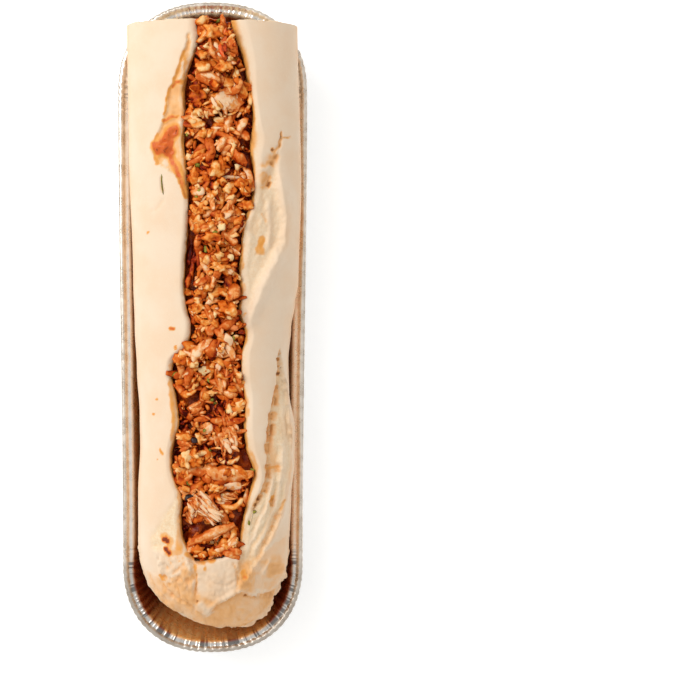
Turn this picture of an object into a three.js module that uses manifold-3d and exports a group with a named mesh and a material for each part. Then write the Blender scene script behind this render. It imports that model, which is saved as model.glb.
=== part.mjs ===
// A filled bread roll in its foil tray, in millimetres, +Z up.
//
// The roll is a half baguette. It lies along Y with its round end at -Y and its cut end at +Y. A slit
// runs along its top and is packed with pulled chicken, fried onion and nuts. The roll is a little too
// wide for the round end of the tray, so its cut end sits up against the rim.
// The origin is on the floor, under the middle of the tray.

import * as THREE from "three";
import Module from "manifold-3d";

// ---------------------------------------------------------------- driving dimensions
const TRAY = {
  length: 286, // over the rim
  halfWidthCut: 41.6, // over the rim, where the wide cut end pushes the foil out
  halfWidthRound: 39.6, // over the rim, near the round end
  height: 28,
  endLength: 40, // how far each round end reaches along Y
  endPower: 2.3, // 2 is an ellipse, more is squarer
  beadHalfWidth: 1.5, // the curled edge
  beadHalfHeight: 1.1,
  flangeEnd: 5.3, // from the outer edge in to the top of the wall
  flangeRise: 0.3, // of the flat ledge over the middle of the curled edge
  wallFoot: 10.8, // from the outer edge in to the foot of the wall
  footRadius: 2, // where the wall turns into the floor
  foil: 0.7,
};

const ROLL = {
  roundTip: -131.5, // Y of the round end
  cutFace: 130, // Y of the cut end
  roundLength: 38, // how far the round end reaches along Y
  floorGap: 0.4, // clear of the tray's floor
  wallGap: 1, // and of its wall
  crownRound: 57, // height of the crown near the round end
  crownCut: 66, // and at the cut end, which sits up on the rim
  liftCut: 13, // height of the underside at the cut end
  liftStart: -30, // Y where the underside starts to rise
  widestShare: 0.54, // of the height, where the roll is widest
  underPower: 2.25, // 2 is an ellipse, more is squarer
  crownPower: 2.15,
  swell: 2.2, // how far its sides may swell outwards for each millimetre above the rim
};

const SLIT = {
  roundEnd: -103, // Y where the slit ends
  endSlope: 2.5, // how far the end wall leans along Y
  floor: 19, // height of its floor above the roll's underside
  floorShare: 0.72, // of the mouth's half width
  floorCorner: 3, // where its wall turns into the floor
  wallCurve: 1.6, // 1 is a straight wall, more keeps wide for longer
  lipDrop: 3.6, // how far the lip rolls down into the slit
};

const FILLING = {
  wallGap: 0.4, // clear of the bread
  belowLip: 5.5, // how far its edge lies under the crown
  dome: 3.2, // how far its middle rises over its edge
  strips: { count: 24, length: [14, 26], width: [5, 7.5], sink: 0.2 },
  onions: { count: 32, size: [6, 9], sink: -0.6 },
  nuts: { count: 20, size: [3, 4.6], sink: -0.9 },
  seed: 29,
};
// Waves along and across the heap's top
const LUMPS = [
  { perY: 0.31, perX: 0.2, phase: 0, height: 1.1 },
  { perY: 0.17, perX: -0.35, phase: 2, height: 1.3 },
];

const STATION_STEP = 4.6; // along the roll
const ROUND_STATIONS = 11; // round its end
const UNDER_POINTS = 4; // from the underside up to the rim's height, on each side
const UPPER_POINTS = 8; // from the widest line to the lip
const LIP_POINTS = 3;
const WALL_POINTS = 3;
const FLOOR_POINTS = 2;
const TOP_STEPS = 6; // across the filling

// Half widths seen from above, as [Y, mm] on each side of the tray's centre line
const LEFT_EDGE = [[-95, 33.2], [-40, 33.8], [20, 34.8], [80, 36.4], [130, 37]];
const RIGHT_EDGE = [[-95, 33.4], [-60, 34.8], [-28, 33.2], [15, 37.2], [60, 38.4], [130, 36.6]];
// The slit's mouth, where bread and filling meet
const LEFT_MOUTH = [[-103, 9], [-85, 12.8], [-70, 14], [-55, 16.2], [-18, 16.8], [-4, 11.4], [20, 11.6],
  [60, 11.4], [98, 12], [118, 7.4], [130, 7.2]];
const RIGHT_MOUTH = [[-103, 10.6], [-88, 12], [-64, 17.2], [-45, 13.6], [0, 11.4], [30, 11.6],
  [52, 16.6], [72, 15.6], [96, 17.2], [118, 12], [130, 8.2]];
// The crust's ridge beside the mouth, measured out from it: on the left the slit is torn wide open
const LEFT_LIP = [[-103, 2.6], [-20, 2.6], [50, 2.8], [66, 9.4], [92, 8.4], [116, 2.8], [130, 2.4]];
const RIGHT_LIP = [[-103, 3.4], [60, 3.6], [90, 4.2], [130, 6.2]];

// Where the baker's cuts have opened: each is a lens from one point to another, seen from above
const SCORES = [
  { from: [29.5, 82], to: [12, -4], halfWidth: 8.6, bow: -6.5, depth: 3.6, ear: 1.2 },
  { from: [29, -6], to: [10, -116], halfWidth: 7.4, bow: -6, depth: 3.4, ear: 1.1 },
];

const COLOUR = {
  crust: "#f0d5b0",
  filling: "#b5632f",
  foil: "#c9c6c0",
};

// ---------------------------------------------------------------- small helpers
const clamp01 = (v) => Math.min(1, Math.max(0, v));
const mix = (a, b, t) => a + (b - a) * t;
const smooth = (v) => clamp01(v) ** 2 * (3 - 2 * clamp01(v));

// A smooth curve through [position, value] stations
function along(stations, position) {
  const last = stations.length - 1;
  if (position <= stations[0][0]) return stations[0][1];
  if (position >= stations[last][0]) return stations[last][1];
  const next = stations.findIndex(([at]) => at > position);
  const [at0, value0] = stations[next - 1];
  const [at1, value1] = stations[next];
  return mix(value0, value1, smooth((position - at0) / (at1 - at0)));
}

// Repeatable random numbers from 0 to 1
function makeRandom(seed) {
  let state = seed;
  return () => {
    state = (state * 1664525 + 1013904223) >>> 0;
    return state / 4294967296;
  };
}

// A closed mesh from rings of equal length, with a flat cap on each end
function meshFromRings(rings, capFirst, capLast) {
  const count = rings[0].length;
  const points = rings.flat();
  const faces = [];
  for (let ring = 0; ring + 1 < rings.length; ring++) {
    for (let i = 0; i < count; i++) {
      const a = ring * count + i;
      const b = ring * count + ((i + 1) % count);
      faces.push([a, b, b + count], [a, b + count, a + count]);
    }
  }
  const first = capFirst.map(([a, b, c]) => [a, c, b]);
  const start = (rings.length - 1) * count;
  const last = capLast.map((face) => face.map((i) => i + start));
  return geometryFrom(points, [...faces, ...first, ...last]);
}

function geometryFrom(points, faces) {
  const geometry = new THREE.BufferGeometry();
  const numbers = points.flatMap((p) => [p.x, p.y, p.z]);
  geometry.setAttribute("position", new THREE.Float32BufferAttribute(numbers, 3));
  geometry.setIndex(faces.flat());
  return geometry;
}

// Triangles that fill a flat outline of [u, v] points, turned the way the outline turns
function fill(outline) {
  const flat = outline.map(([u, v]) => new THREE.Vector2(u, v));
  const faces = THREE.ShapeUtils.triangulateShape(flat, []);
  const turns = (points) => Math.sign(THREE.ShapeUtils.area(points));
  const same = turns(flat) === turns(faces[0].map((i) => flat[i]));
  return same ? faces : faces.map(([a, b, c]) => [a, c, b]);
}

// ---------------------------------------------------------------- the tray's outline
const straightHalf = TRAY.length / 2 - TRAY.endLength;
const flangeTop = TRAY.height - TRAY.beadHalfHeight + TRAY.flangeRise;
const footTop = TRAY.foil + TRAY.footRadius;
const clearOfRim = TRAY.height + ROLL.floorGap;

function trayHalfWidth(y) {
  const share = smooth((y + straightHalf) / (2 * straightHalf));
  return mix(TRAY.halfWidthRound, TRAY.halfWidthCut, share);
}

// Half width of the tray at y, on the outline that lies inset from its outer edge
function trayInside(y, inset) {
  const past = Math.max(0, Math.abs(y) - straightHalf) / (TRAY.endLength - inset);
  const shape = Math.max(0, 1 - past ** TRAY.endPower) ** (1 / TRAY.endPower);
  return (trayHalfWidth(y) - inset) * shape;
}

// One closed ring round the tray, inset from its outer edge
function trayRing(inset, z) {
  const ring = [];
  const endSteps = 24;
  const sideSteps = 6;
  const power = 2 / TRAY.endPower;
  const squared = (v) => Math.sign(v) * Math.abs(v) ** power;
  for (const end of [1, -1]) {
    for (let i = 0; i <= endSteps; i++) {
      const angle = (Math.PI * i) / endSteps;
      const y = end * (straightHalf + (TRAY.endLength - inset) * squared(Math.sin(angle)));
      ring.push(new THREE.Vector3(end * (trayHalfWidth(y) - inset) * squared(Math.cos(angle)), y, z));
    }
    for (let i = 1; i < sideSteps; i++) {
      const y = end * mix(straightHalf, -straightHalf, i / sideSteps);
      ring.push(new THREE.Vector3(-end * (trayHalfWidth(y) - inset), y, z));
    }
  }
  return ring;
}

function makeTray() {
  const { height, foil, beadHalfWidth, beadHalfHeight, flangeEnd, wallFoot, footRadius } = TRAY;
  const beadMiddle = height - beadHalfHeight;
  // Up the outside of the wall, under the flange, round the bead, and back down the inside
  const profile = [[wallFoot - foil + footRadius, 0], [wallFoot - foil, footRadius]];
  profile.push([flangeEnd - foil, flangeTop - foil], [2 * beadHalfWidth, flangeTop - foil]);
  for (const degrees of [230, 180, 130, 90, 50]) {
    const angle = (degrees * Math.PI) / 180;
    profile.push([beadHalfWidth * (1 + Math.cos(angle)), beadMiddle + beadHalfHeight * Math.sin(angle)]);
  }
  profile.push([2 * beadHalfWidth, flangeTop], [flangeEnd, flangeTop]);
  profile.push([wallFoot, footTop], [wallFoot + footRadius, foil]);
  const rings = profile.map(([inset, z]) => trayRing(inset, z));
  const cap = (ring) => fill(ring.map((p) => [p.x, p.y]));
  return meshFromRings(rings, cap(rings[0]), cap(rings[rings.length - 1]));
}

// ---------------------------------------------------------------- the roll
const rollSpan = { start: ROLL.roundTip, end: ROLL.cutFace };

// 0 at the tip of the round end, 1 where the roll is full
function fullness(y) {
  const past = clamp01((ROLL.roundTip + ROLL.roundLength - y) / ROLL.roundLength);
  return Math.sqrt(Math.max(0, 1 - past * past));
}

function levels(y) {
  const rise = smooth((y - ROLL.liftStart) / (rollSpan.end - ROLL.liftStart));
  const under = TRAY.foil + ROLL.floorGap + ROLL.liftCut * rise;
  const crown = mix(ROLL.crownRound, ROLL.crownCut, rise);
  const widest = mix(under, crown, ROLL.widestShare);
  const full = fullness(y);
  return {
    widest,
    under: mix(widest, under, full ** 0.8),
    crown: mix(widest, crown, full ** 0.8),
  };
}

// How far the opened cuts lower or raise the crust at a point seen from above
function scoreRelief(x, y) {
  let relief = 0;
  for (const { from, to, halfWidth, bow, depth, ear } of SCORES) {
    const run = [to[0] - from[0], to[1] - from[1]];
    const length = Math.hypot(...run);
    const unit = [run[0] / length, run[1] / length];
    const offset = [x - from[0], y - from[1]];
    const t = (offset[0] * unit[0] + offset[1] * unit[1]) / length;
    if (t <= 0 || t >= 1) continue;
    const arch = Math.sin(Math.PI * t);
    const side = offset[1] * unit[0] - offset[0] * unit[1] + bow * arch;
    const across = Math.abs(side) / (halfWidth * Math.sqrt(arch));
    relief -= depth * Math.sqrt(arch) * (1 - smooth(across / 1.1));
    relief += ear * Math.sqrt(arch) * Math.exp(-(((across - 1.35) / 0.4) ** 2));
  }
  return relief;
}

// The crust's height above a point on one side of the centre line
function crustHeight(x, y, halfWidth) {
  const { widest, crown } = levels(y);
  const share = Math.max(0, 1 - (Math.abs(x) / halfWidth) ** ROLL.crownPower) ** (1 / ROLL.crownPower);
  return mix(widest, crown, share);
}

// How far out the roll may reach at a height, so that it lies inside the tray and over its rim
function trayLimit(y, z) {
  const down = clamp01((flangeTop - z) / (flangeTop - footTop));
  const turn = Math.max(0, footTop - z);
  const inside = trayInside(y, mix(TRAY.flangeEnd, TRAY.wallFoot, down) + turn + ROLL.wallGap);
  return inside + Math.max(0, z - clearOfRim) * ROLL.swell;
}

function edgeAt(y, side) {
  const stations = side < 0 ? LEFT_EDGE : RIGHT_EDGE;
  return along(stations, y) * fullness(y);
}

// The slit's wall and floor on one side, from the lip down, as [distance from the centre line, z]
function slitWall(y, side, gap) {
  const mouth = along(side < 0 ? LEFT_MOUTH : RIGHT_MOUTH, y) - gap;
  const { under } = levels(y);
  const halfWidth = edgeAt(y, side);
  const top = crustHeight(mouth, y, halfWidth) - SLIT.lipDrop;
  const floor = under + SLIT.floor + gap;
  const corner = SLIT.floorCorner;
  const foot = mouth * SLIT.floorShare;
  const points = [];
  for (let i = 0; i < WALL_POINTS; i++) {
    const t = i / WALL_POINTS;
    points.push([mix(mouth, foot, t ** SLIT.wallCurve), mix(top, floor + corner, t)]);
  }
  for (let i = 0; i < FLOOR_POINTS; i++) {
    const angle = (i / FLOOR_POINTS) * (Math.PI / 2);
    points.push([foot * Math.cos(angle), floor + corner * (1 - Math.sin(angle))]);
  }
  return points;
}

// One side of the roll's section, from the underside round to the slit's floor
function rollSide(y, side) {
  const { widest, under, crown } = levels(y);
  const halfWidth = edgeAt(y, side);
  const mouth = along(side < 0 ? LEFT_MOUTH : RIGHT_MOUTH, y);
  const ridge = Math.min(mouth + along(side < 0 ? LEFT_LIP : RIGHT_LIP, y), halfWidth * 0.72);
  const open = smooth((y - SLIT.roundEnd) / SLIT.endSlope);
  const points = [];
  const ridgeAngle = Math.acos((ridge / Math.max(halfWidth, 0.01)) ** (ROLL.crownPower / 2));
  // One point lies level with the rim, so that the crust passes clear over it
  const rimShare = Math.min(0.85, (widest - clearOfRim) / (widest - under));
  const rimAngle = -Math.asin(rimShare ** (ROLL.underPower / 2));
  const angles = [];
  for (let i = 1; i <= UNDER_POINTS; i++) angles.push(mix(-Math.PI / 2, rimAngle, i / UNDER_POINTS));
  for (let i = 0; i <= UPPER_POINTS; i++) angles.push((i / UPPER_POINTS) * ridgeAngle);
  for (const angle of angles) {
    const power = 2 / (angle < 0 ? ROLL.underPower : ROLL.crownPower);
    const reach = halfWidth * Math.cos(angle) ** power;
    const up = Math.abs(Math.sin(angle)) ** power;
    let z = angle < 0 ? mix(widest, under, up) : mix(widest, crown, up);
    if (angle > 0) z += scoreRelief(side * reach, y) * smooth(angle / 0.5);
    points.push([Math.min(reach, trayLimit(y, z)), z]);
  }
  const closedAt = (x) => [x, crustHeight(x, y, halfWidth) + scoreRelief(side * x, y)];
  const mouthShare = Math.min(mouth, ridge * 0.8);
  const top = crustHeight(mouth, y, halfWidth);
  const openPoints = [];
  for (let i = 1; i < LIP_POINTS; i++) {
    const angle = (i / LIP_POINTS) * (Math.PI / 2);
    const x = mix(ridge, mouth, Math.sin(angle));
    openPoints.push([x, mix(top - SLIT.lipDrop, points[points.length - 1][1], Math.cos(angle))]);
  }
  openPoints.push(...slitWall(y, side, 0));
  openPoints.forEach(([x, z], i) => {
    const closed = closedAt(mix(mouthShare, 0, i / openPoints.length));
    points.push([mix(closed[0], x, open), mix(closed[1], z, open)]);
  });
  return points;
}

function rollRing(y) {
  const { under, widest, crown } = levels(y);
  const open = smooth((y - SLIT.roundEnd) / SLIT.endSlope);
  const slitFloor = under + SLIT.floor;
  const middleTop = mix(crown + scoreRelief(0, y), slitFloor, open);
  const toPoint = (side) => ([x, z]) => new THREE.Vector3(side * x, y, z);
  const right = rollSide(y, 1).map(toPoint(1));
  const left = rollSide(y, -1).map(toPoint(-1)).reverse();
  const bottom = new THREE.Vector3(0, y, Math.min(under, widest));
  return [bottom, ...right, new THREE.Vector3(0, y, middleTop), ...left];
}

// Sections close together round the end, one at each end of the slit's end wall, and even ones beyond
function rollStations() {
  const stations = [];
  for (let i = 0; i < ROUND_STATIONS; i++) {
    const angle = ((i + 0.35) / ROUND_STATIONS) * (Math.PI / 2);
    const y = rollSpan.start + ROLL.roundLength * (1 - Math.cos(angle));
    if (y < SLIT.roundEnd - 1) stations.push(y);
  }
  stations.push(SLIT.roundEnd);
  const slitFoot = SLIT.roundEnd + SLIT.endSlope;
  const steps = Math.round((rollSpan.end - slitFoot) / STATION_STEP);
  for (let i = 0; i <= steps; i++) stations.push(mix(slitFoot, rollSpan.end, i / steps));
  return stations;
}

function makeRoll() {
  const rings = rollStations().map(rollRing).reverse();
  const cap = (ring) => fill(ring.map((p) => [p.x, p.z]));
  return meshFromRings(rings, cap(rings[0]), cap(rings[rings.length - 1]));
}

// ---------------------------------------------------------------- the filling
const fillingSpan = { start: SLIT.roundEnd + SLIT.endSlope + 0.5, end: ROLL.cutFace - 0.4 };

function fillingTop(x, y) {
  const side = x < 0 ? -1 : 1;
  const mouth = along(side < 0 ? LEFT_MOUTH : RIGHT_MOUTH, y);
  const edge = crustHeight(mouth, y, edgeAt(y, side)) - FILLING.belowLip;
  const across = clamp01(Math.abs(x) / mouth);
  let lumps = 0;
  for (const { perY, perX, phase, height } of LUMPS) lumps += height * Math.sin(y * perY + x * perX + phase);
  const taper = smooth((y - fillingSpan.start + 4) / 10);
  return edge + FILLING.dome * (1 - across ** 2) * taper + lumps * (1 - across ** 4);
}

// A ring of the slit's inside, clear of the bread, closed by a top of the given height
function fillingRing(y, topAt) {
  const walls = [1, -1].map((side) => slitWall(y, side, FILLING.wallGap).map(([x, z]) => [side * x, z]));
  const { under } = levels(y);
  const middle = [0, under + SLIT.floor + FILLING.wallGap];
  const [right, left] = walls;
  const rightEdge = right[0][0];
  const leftEdge = left[0][0];
  const across = [];
  for (let i = 0; i <= TOP_STEPS; i++) {
    const x = mix(leftEdge, rightEdge, i / TOP_STEPS);
    across.push([x, topAt(x, y)]);
  }
  const outline = [middle, ...right.slice(1).reverse(), ...across.reverse(), ...left.slice(1)];
  return outline.map(([x, z]) => new THREE.Vector3(x, y, z));
}

function fillingStations() {
  const inside = rollStations().filter((y) => y > fillingSpan.start + 2 && y < fillingSpan.end - 1);
  return [fillingSpan.start, ...inside, fillingSpan.end];
}

function fillingSolid(topAt) {
  const rings = fillingStations().map((y) => fillingRing(y, topAt)).reverse();
  const cap = (ring) => fill(ring.map((p) => [p.x, p.z]));
  return meshFromRings(rings, cap(rings[0]), cap(rings[rings.length - 1]));
}

// A strip of pulled chicken: a bent, tapering prism with a lumpy section
function stripPiece(random, length, width) {
  const rings = [];
  const steps = 3;
  const sides = 5;
  const bend = mix(-0.35, 0.35, random());
  for (let i = 0; i <= steps; i++) {
    const t = i / steps;
    const fat = (0.45 + 0.55 * Math.sin(Math.PI * mix(0.12, 0.88, t))) * mix(0.85, 1.15, random());
    const ring = [];
    for (let k = 0; k < sides; k++) {
      const angle = (k / sides) * 2 * Math.PI;
      const y = (Math.cos(angle) * width * fat) / 2 + bend * length * (t - 0.5) ** 2 * 2;
      ring.push(new THREE.Vector3((t - 0.5) * length, y, (Math.sin(angle) * width * 0.62 * fat) / 2));
    }
    rings.push(ring);
  }
  const cap = fill(rings[0].map((p) => [p.y, p.z]));
  return meshFromRings(rings, cap, cap);
}

// A curl of fried onion: a short arc of a flat band
function onionPiece(random, size) {
  const rings = [];
  const steps = 3;
  const sweep = mix(1.6, 3, random());
  for (let i = 0; i <= steps; i++) {
    const angle = (i / steps - 0.5) * sweep;
    const out = new THREE.Vector3(Math.sin(angle), Math.cos(angle), 0);
    const half = size * 0.16 * mix(0.8, 1.2, random());
    const corners = [[-1, -1.2], [1, -1], [1, 1.2], [-1, 1]];
    rings.push(corners.map(([r, h]) => out.clone().multiplyScalar(size * 0.42 + r * half).setZ(h * half)));
  }
  const cap = [[0, 1, 2], [0, 2, 3]];
  return meshFromRings(rings, cap, cap);
}

// A bit of chopped nut
function nutPiece(random, size) {
  const geometry = new THREE.OctahedronGeometry(size / 2, 0);
  geometry.scale(mix(0.8, 1.3, random()), 1, mix(0.6, 0.9, random()));
  return geometry;
}

function toManifold(wasm, geometry) {
  const position = geometry.getAttribute("position");
  const keys = new Map();
  const places = [];
  const corner = (i) => {
    const place = [position.getX(i), position.getY(i), position.getZ(i)];
    const key = place.map((v) => v.toFixed(4)).join();
    if (!keys.has(key)) {
      keys.set(key, places.length / 3);
      places.push(...place);
    }
    return keys.get(key);
  };
  const index = geometry.index ? [...geometry.index.array] : [...Array(position.count).keys()];
  const triangles = index.map(corner);
  const mesh = { numProp: 3, vertProperties: new Float32Array(places), triVerts: new Uint32Array(triangles) };
  return new wasm.Manifold(new wasm.Mesh(mesh));
}

function fromManifold(solid) {
  const { vertProperties, triVerts, numProp } = solid.getMesh();
  const geometry = new THREE.BufferGeometry();
  const places = [];
  for (let i = 0; i < vertProperties.length; i += numProp) places.push(...vertProperties.slice(i, i + 3));
  geometry.setAttribute("position", new THREE.Float32BufferAttribute(places, 3));
  geometry.setIndex([...triVerts]);
  return geometry;
}

// Lays pieces of one kind along the slit, evenly but not in a row
function scatter(random, { count, sink }, makePiece) {
  const placed = [];
  for (let i = 0; i < count; i++) {
    const y = mix(fillingSpan.start + 4, fillingSpan.end - 3, (i + random()) / count);
    const share = mix(-0.8, 0.8, random());
    const mouth = along(share < 0 ? LEFT_MOUTH : RIGHT_MOUTH, y);
    const x = share * mouth;
    const piece = makePiece();
    const turn = new THREE.Euler(mix(-0.4, 0.4, random()), mix(-0.2, 0.2, random()), random() * 2 * Math.PI);
    piece.applyMatrix4(new THREE.Matrix4().makeRotationFromEuler(turn));
    piece.translate(x, y, fillingTop(x, y) - sink);
    placed.push(piece);
  }
  return placed;
}

async function makeFilling() {
  const wasm = await Module();
  wasm.setup();
  const random = makeRandom(FILLING.seed);
  const { strips, onions, nuts } = FILLING;
  const between = (range) => mix(range[0], range[1], random());
  const pieces = [
    ...scatter(random, strips, () => stripPiece(random, between(strips.length), between(strips.width))),
    ...scatter(random, onions, () => onionPiece(random, between(onions.size))),
    ...scatter(random, nuts, () => nutPiece(random, between(nuts.size))),
  ];
  let heap = toManifold(wasm, fillingSolid(fillingTop));
  for (const piece of pieces) heap = heap.add(toManifold(wasm, piece));
  const room = toManifold(wasm, fillingSolid((x, y) => levels(y).crown + 20));
  const bodies = heap.intersect(room).decompose();
  bodies.sort((a, b) => b.volume() - a.volume());
  return fromManifold(bodies[0]);
}

// ---------------------------------------------------------------- the object
function named(name, geometry, colour, roughness, metalness) {
  const material = new THREE.MeshStandardMaterial({ color: colour, roughness, metalness });
  const mesh = new THREE.Mesh(geometry, material);
  mesh.name = name;
  return mesh;
}

const satayRoll = new THREE.Group();
satayRoll.add(named("foil_tray", makeTray(), COLOUR.foil, 0.3, 1));
satayRoll.add(named("bread_roll", makeRoll(), COLOUR.crust, 0.8, 0));
satayRoll.add(named("satay_filling", await makeFilling(), COLOUR.filling, 0.5, 0));

export default satayRoll;
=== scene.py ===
# %% [markdown]
# # A filled bread roll in its foil tray
#
# The object is half a baguette, slit along its top and packed with pulled chicken, fried onion and
# chopped nuts in an orange-brown peanut sauce. It lies in a long tray of thin foil. Everything shown
# is built as a mesh around three plain solids that fix the sizes: the tray, the bread and the filling.
#
# A food scan would give such a roll in one go, but then its crust, crumb and sauce would be one skin.
# Built piece by piece, each has its own shape and finish, and every size stays a number to change.

# %% Load the fixed frame
import math

import bmesh
import bpy
import numpy as np
from mathutils import Matrix, Vector


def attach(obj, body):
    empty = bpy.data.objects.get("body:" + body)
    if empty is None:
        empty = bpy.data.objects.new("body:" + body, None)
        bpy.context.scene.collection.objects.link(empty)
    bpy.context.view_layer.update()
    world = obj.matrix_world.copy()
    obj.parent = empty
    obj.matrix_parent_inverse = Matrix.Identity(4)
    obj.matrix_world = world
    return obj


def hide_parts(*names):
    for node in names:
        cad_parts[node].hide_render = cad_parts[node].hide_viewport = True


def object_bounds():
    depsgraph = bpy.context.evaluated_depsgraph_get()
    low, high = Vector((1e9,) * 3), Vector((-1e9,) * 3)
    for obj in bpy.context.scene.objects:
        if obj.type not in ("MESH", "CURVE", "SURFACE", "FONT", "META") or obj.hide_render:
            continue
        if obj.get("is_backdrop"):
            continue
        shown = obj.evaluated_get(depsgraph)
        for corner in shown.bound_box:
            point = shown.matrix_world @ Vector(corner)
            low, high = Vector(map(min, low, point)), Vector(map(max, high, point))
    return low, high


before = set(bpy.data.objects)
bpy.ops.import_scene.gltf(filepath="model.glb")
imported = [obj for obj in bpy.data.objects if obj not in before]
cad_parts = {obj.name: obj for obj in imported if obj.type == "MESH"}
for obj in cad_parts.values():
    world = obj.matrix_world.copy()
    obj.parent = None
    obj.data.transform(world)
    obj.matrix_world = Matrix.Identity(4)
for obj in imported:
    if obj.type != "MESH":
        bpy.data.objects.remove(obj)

cad_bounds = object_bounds()
print("solids:", sorted(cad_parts))
print("box in mm:", [[round(v * 1000, 1) for v in corner] for corner in cad_bounds])

# %% [markdown]
# ## Small tools
#
# All shapes below are worked out in millimetres with arrays, and turned into metres once, where the
# mesh is made. Two curves do most of the work: a smooth step from 0 to 1, and a smooth line through a
# few measured stations. Random waves come from a lattice of hashed numbers, blended smoothly, because
# that runs on a hundred thousand points at once and gives the same waves on every run.

# %% Curves and random waves
MM = 0.001


def mix(a, b, t):
    return a + (b - a) * t


def smooth(value):
    value = np.clip(value, 0.0, 1.0)
    return value * value * (3 - 2 * value)


def along(stations, position):
    """A smooth curve through [position, value] stations."""
    at, value = np.array(stations, float).T
    position = np.clip(position, at[0], at[-1])
    left = np.clip(np.searchsorted(at, position, side="right") - 1, 0, len(at) - 2)
    return mix(value[left], value[left + 1], smooth((position - at[left]) / (at[left + 1] - at[left])))


def hashed(cells, seed):
    """A number from -1 to 1 for each lattice cell."""
    mask = 0xFFFFFFFF
    mixed = (cells @ np.array([374761393, 668265263, 2147483629]) + seed * 1274126177) & mask
    mixed = ((mixed ^ (mixed >> 13)) * 1274126177) & mask
    return ((mixed ^ (mixed >> 16)) & 0xFFFF) / 32767.5 - 1


def waves(points, size, seed=0):
    """Smooth random waves from -1 to 1, about as wide as size, at each point."""
    places = np.asarray(points, float) / size
    cells = np.floor(places).astype(np.int64)
    share = places - cells
    share = share * share * (3 - 2 * share)
    total = 0
    for corner in np.ndindex(2, 2, 2):
        weight = np.prod(np.where(corner, share, 1 - share), axis=-1)
        total = total + weight * hashed(cells + corner, seed)
    return total


print("waves run from", np.round(waves(np.random.default_rng(1).random((9999, 3)) * 99, 3).min(), 2), "up")

# %% [markdown]
# ## Where things lie in the picture
#
# The reference was taken from straight above, so a point on it gives the place on the object once its
# height is known. The tray's rim gives the scale, and the camera's height sets how much larger the
# things nearer to it look. Measured points are kept as pixels, with x to the right and y downwards, and
# turned into millimetres from the tray's middle by one function.

# %% From the picture to the object
TRAY_MIDDLE_PX = (213.0, 327.5)
CAMERA_HEIGHT = 1000.0
RIM_HEIGHT = 28.0
MM_PER_PX_AT_RIM = 0.44
FOCAL_PX = (CAMERA_HEIGHT - RIM_HEIGHT) / MM_PER_PX_AT_RIM
CRUST_HEIGHT = 56.0  # on average; at the slit's lips it is LIP_HEIGHT
LIP_HEIGHT = 58.0


def from_picture(pixels, height):
    """Plan places in mm of picture points at a height over the table."""
    scale = (CAMERA_HEIGHT - height) / FOCAL_PX
    away = np.asarray(pixels, float) - TRAY_MIDDLE_PX
    return away * [scale, -scale]


def pairs(text):
    """Pairs of numbers, such as places in the picture, from text such as "197,15 198,48"."""
    return [tuple(map(float, pair.split(","))) for pair in text.split()]


def table(text):
    """Rows, each a line or outline in the picture, a bar and numbers, ended by a semicolon or a new line."""
    rows = [row.split("|") for row in text.replace(";", "\n").split("\n") if row.strip()]
    return [(pairs(line), *map(float, numbers.split())) for line, numbers in rows]


def rows_of(text):
    """Rows of plain numbers, with commas between the rows."""
    return [tuple(map(float, row.split())) for row in text.split(",")]


print("one px at the slit is", round((CAMERA_HEIGHT - LIP_HEIGHT) / FOCAL_PX, 3), "mm")

# %% [markdown]
# ## Making a piece
#
# Each piece of the object becomes one mesh that rides on the object's only body. It carries a few
# numbers per point, such as how much sauce lies there, which its finish reads by name. Painting them
# on a texture image would work too, but numbers on points need no image and no unwrapping.

# %% Mesh from points and faces
def link_new(name, data):
    made = bpy.data.objects.new(name, data)
    bpy.context.scene.collection.objects.link(made)
    return made


def make_piece(name, points, faces, finish, marks=None):
    mesh = bpy.data.meshes.new(name)
    mesh.from_pydata((np.asarray(points) * MM).tolist(), [], faces)
    for mark, values in (marks or {}).items():
        layer = mesh.attributes.new(mark, "FLOAT", "POINT")
        layer.data.foreach_set("value", np.asarray(values, np.float32))
    mesh.materials.append(finish)
    mesh.polygons.foreach_set("use_smooth", [True] * len(mesh.polygons))
    mesh.update()
    piece = link_new(name, mesh)
    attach(piece, "root")
    print(name, "has", len(mesh.vertices), "points and", len(mesh.polygons), "faces")
    return piece


def tube_faces(rows, columns, inside_out=False):
    """Quads between neighbouring rings of points, and one face over each end."""
    across = np.arange(columns)
    a = (np.arange(rows - 1)[:, None] * columns + across).ravel()
    b = (np.arange(rows - 1)[:, None] * columns + (across + 1) % columns).ravel()
    faces = [tuple(face) for face in np.stack([a, b, b + columns, a + columns], axis=1).tolist()]
    last = (rows - 1) * columns
    faces += [tuple(range(columns - 1, -1, -1)), tuple(range(last, last + columns))]
    return [face[::-1] for face in faces] if inside_out else faces


def points_at(x, y=0, z=0):
    """Points from coordinates whose shapes fit together."""
    return np.stack(np.broadcast_arrays(x, y, z), axis=-1)


def beside(*parts):
    """Joins parts that have the same rows."""
    return np.concatenate(parts, axis=1)


def grid_normals(points):
    """Outward directions of a grid of rings of points, shape rows by columns by 3."""
    around = np.roll(points, -1, axis=1) - np.roll(points, 1, axis=1)
    lengthwise = np.gradient(points, axis=0)
    normals = np.cross(around, lengthwise)
    return normals / np.maximum(np.linalg.norm(normals, axis=-1, keepdims=True), 1e-9)


# %% [markdown]
# ## Building a finish
#
# A finish is a procedural material: noise for colour, gloss and tiny relief, and the numbers on the
# points for what lies where. This small class keeps the node work short and readable. Constant values
# go straight onto the shader's sockets.

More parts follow.
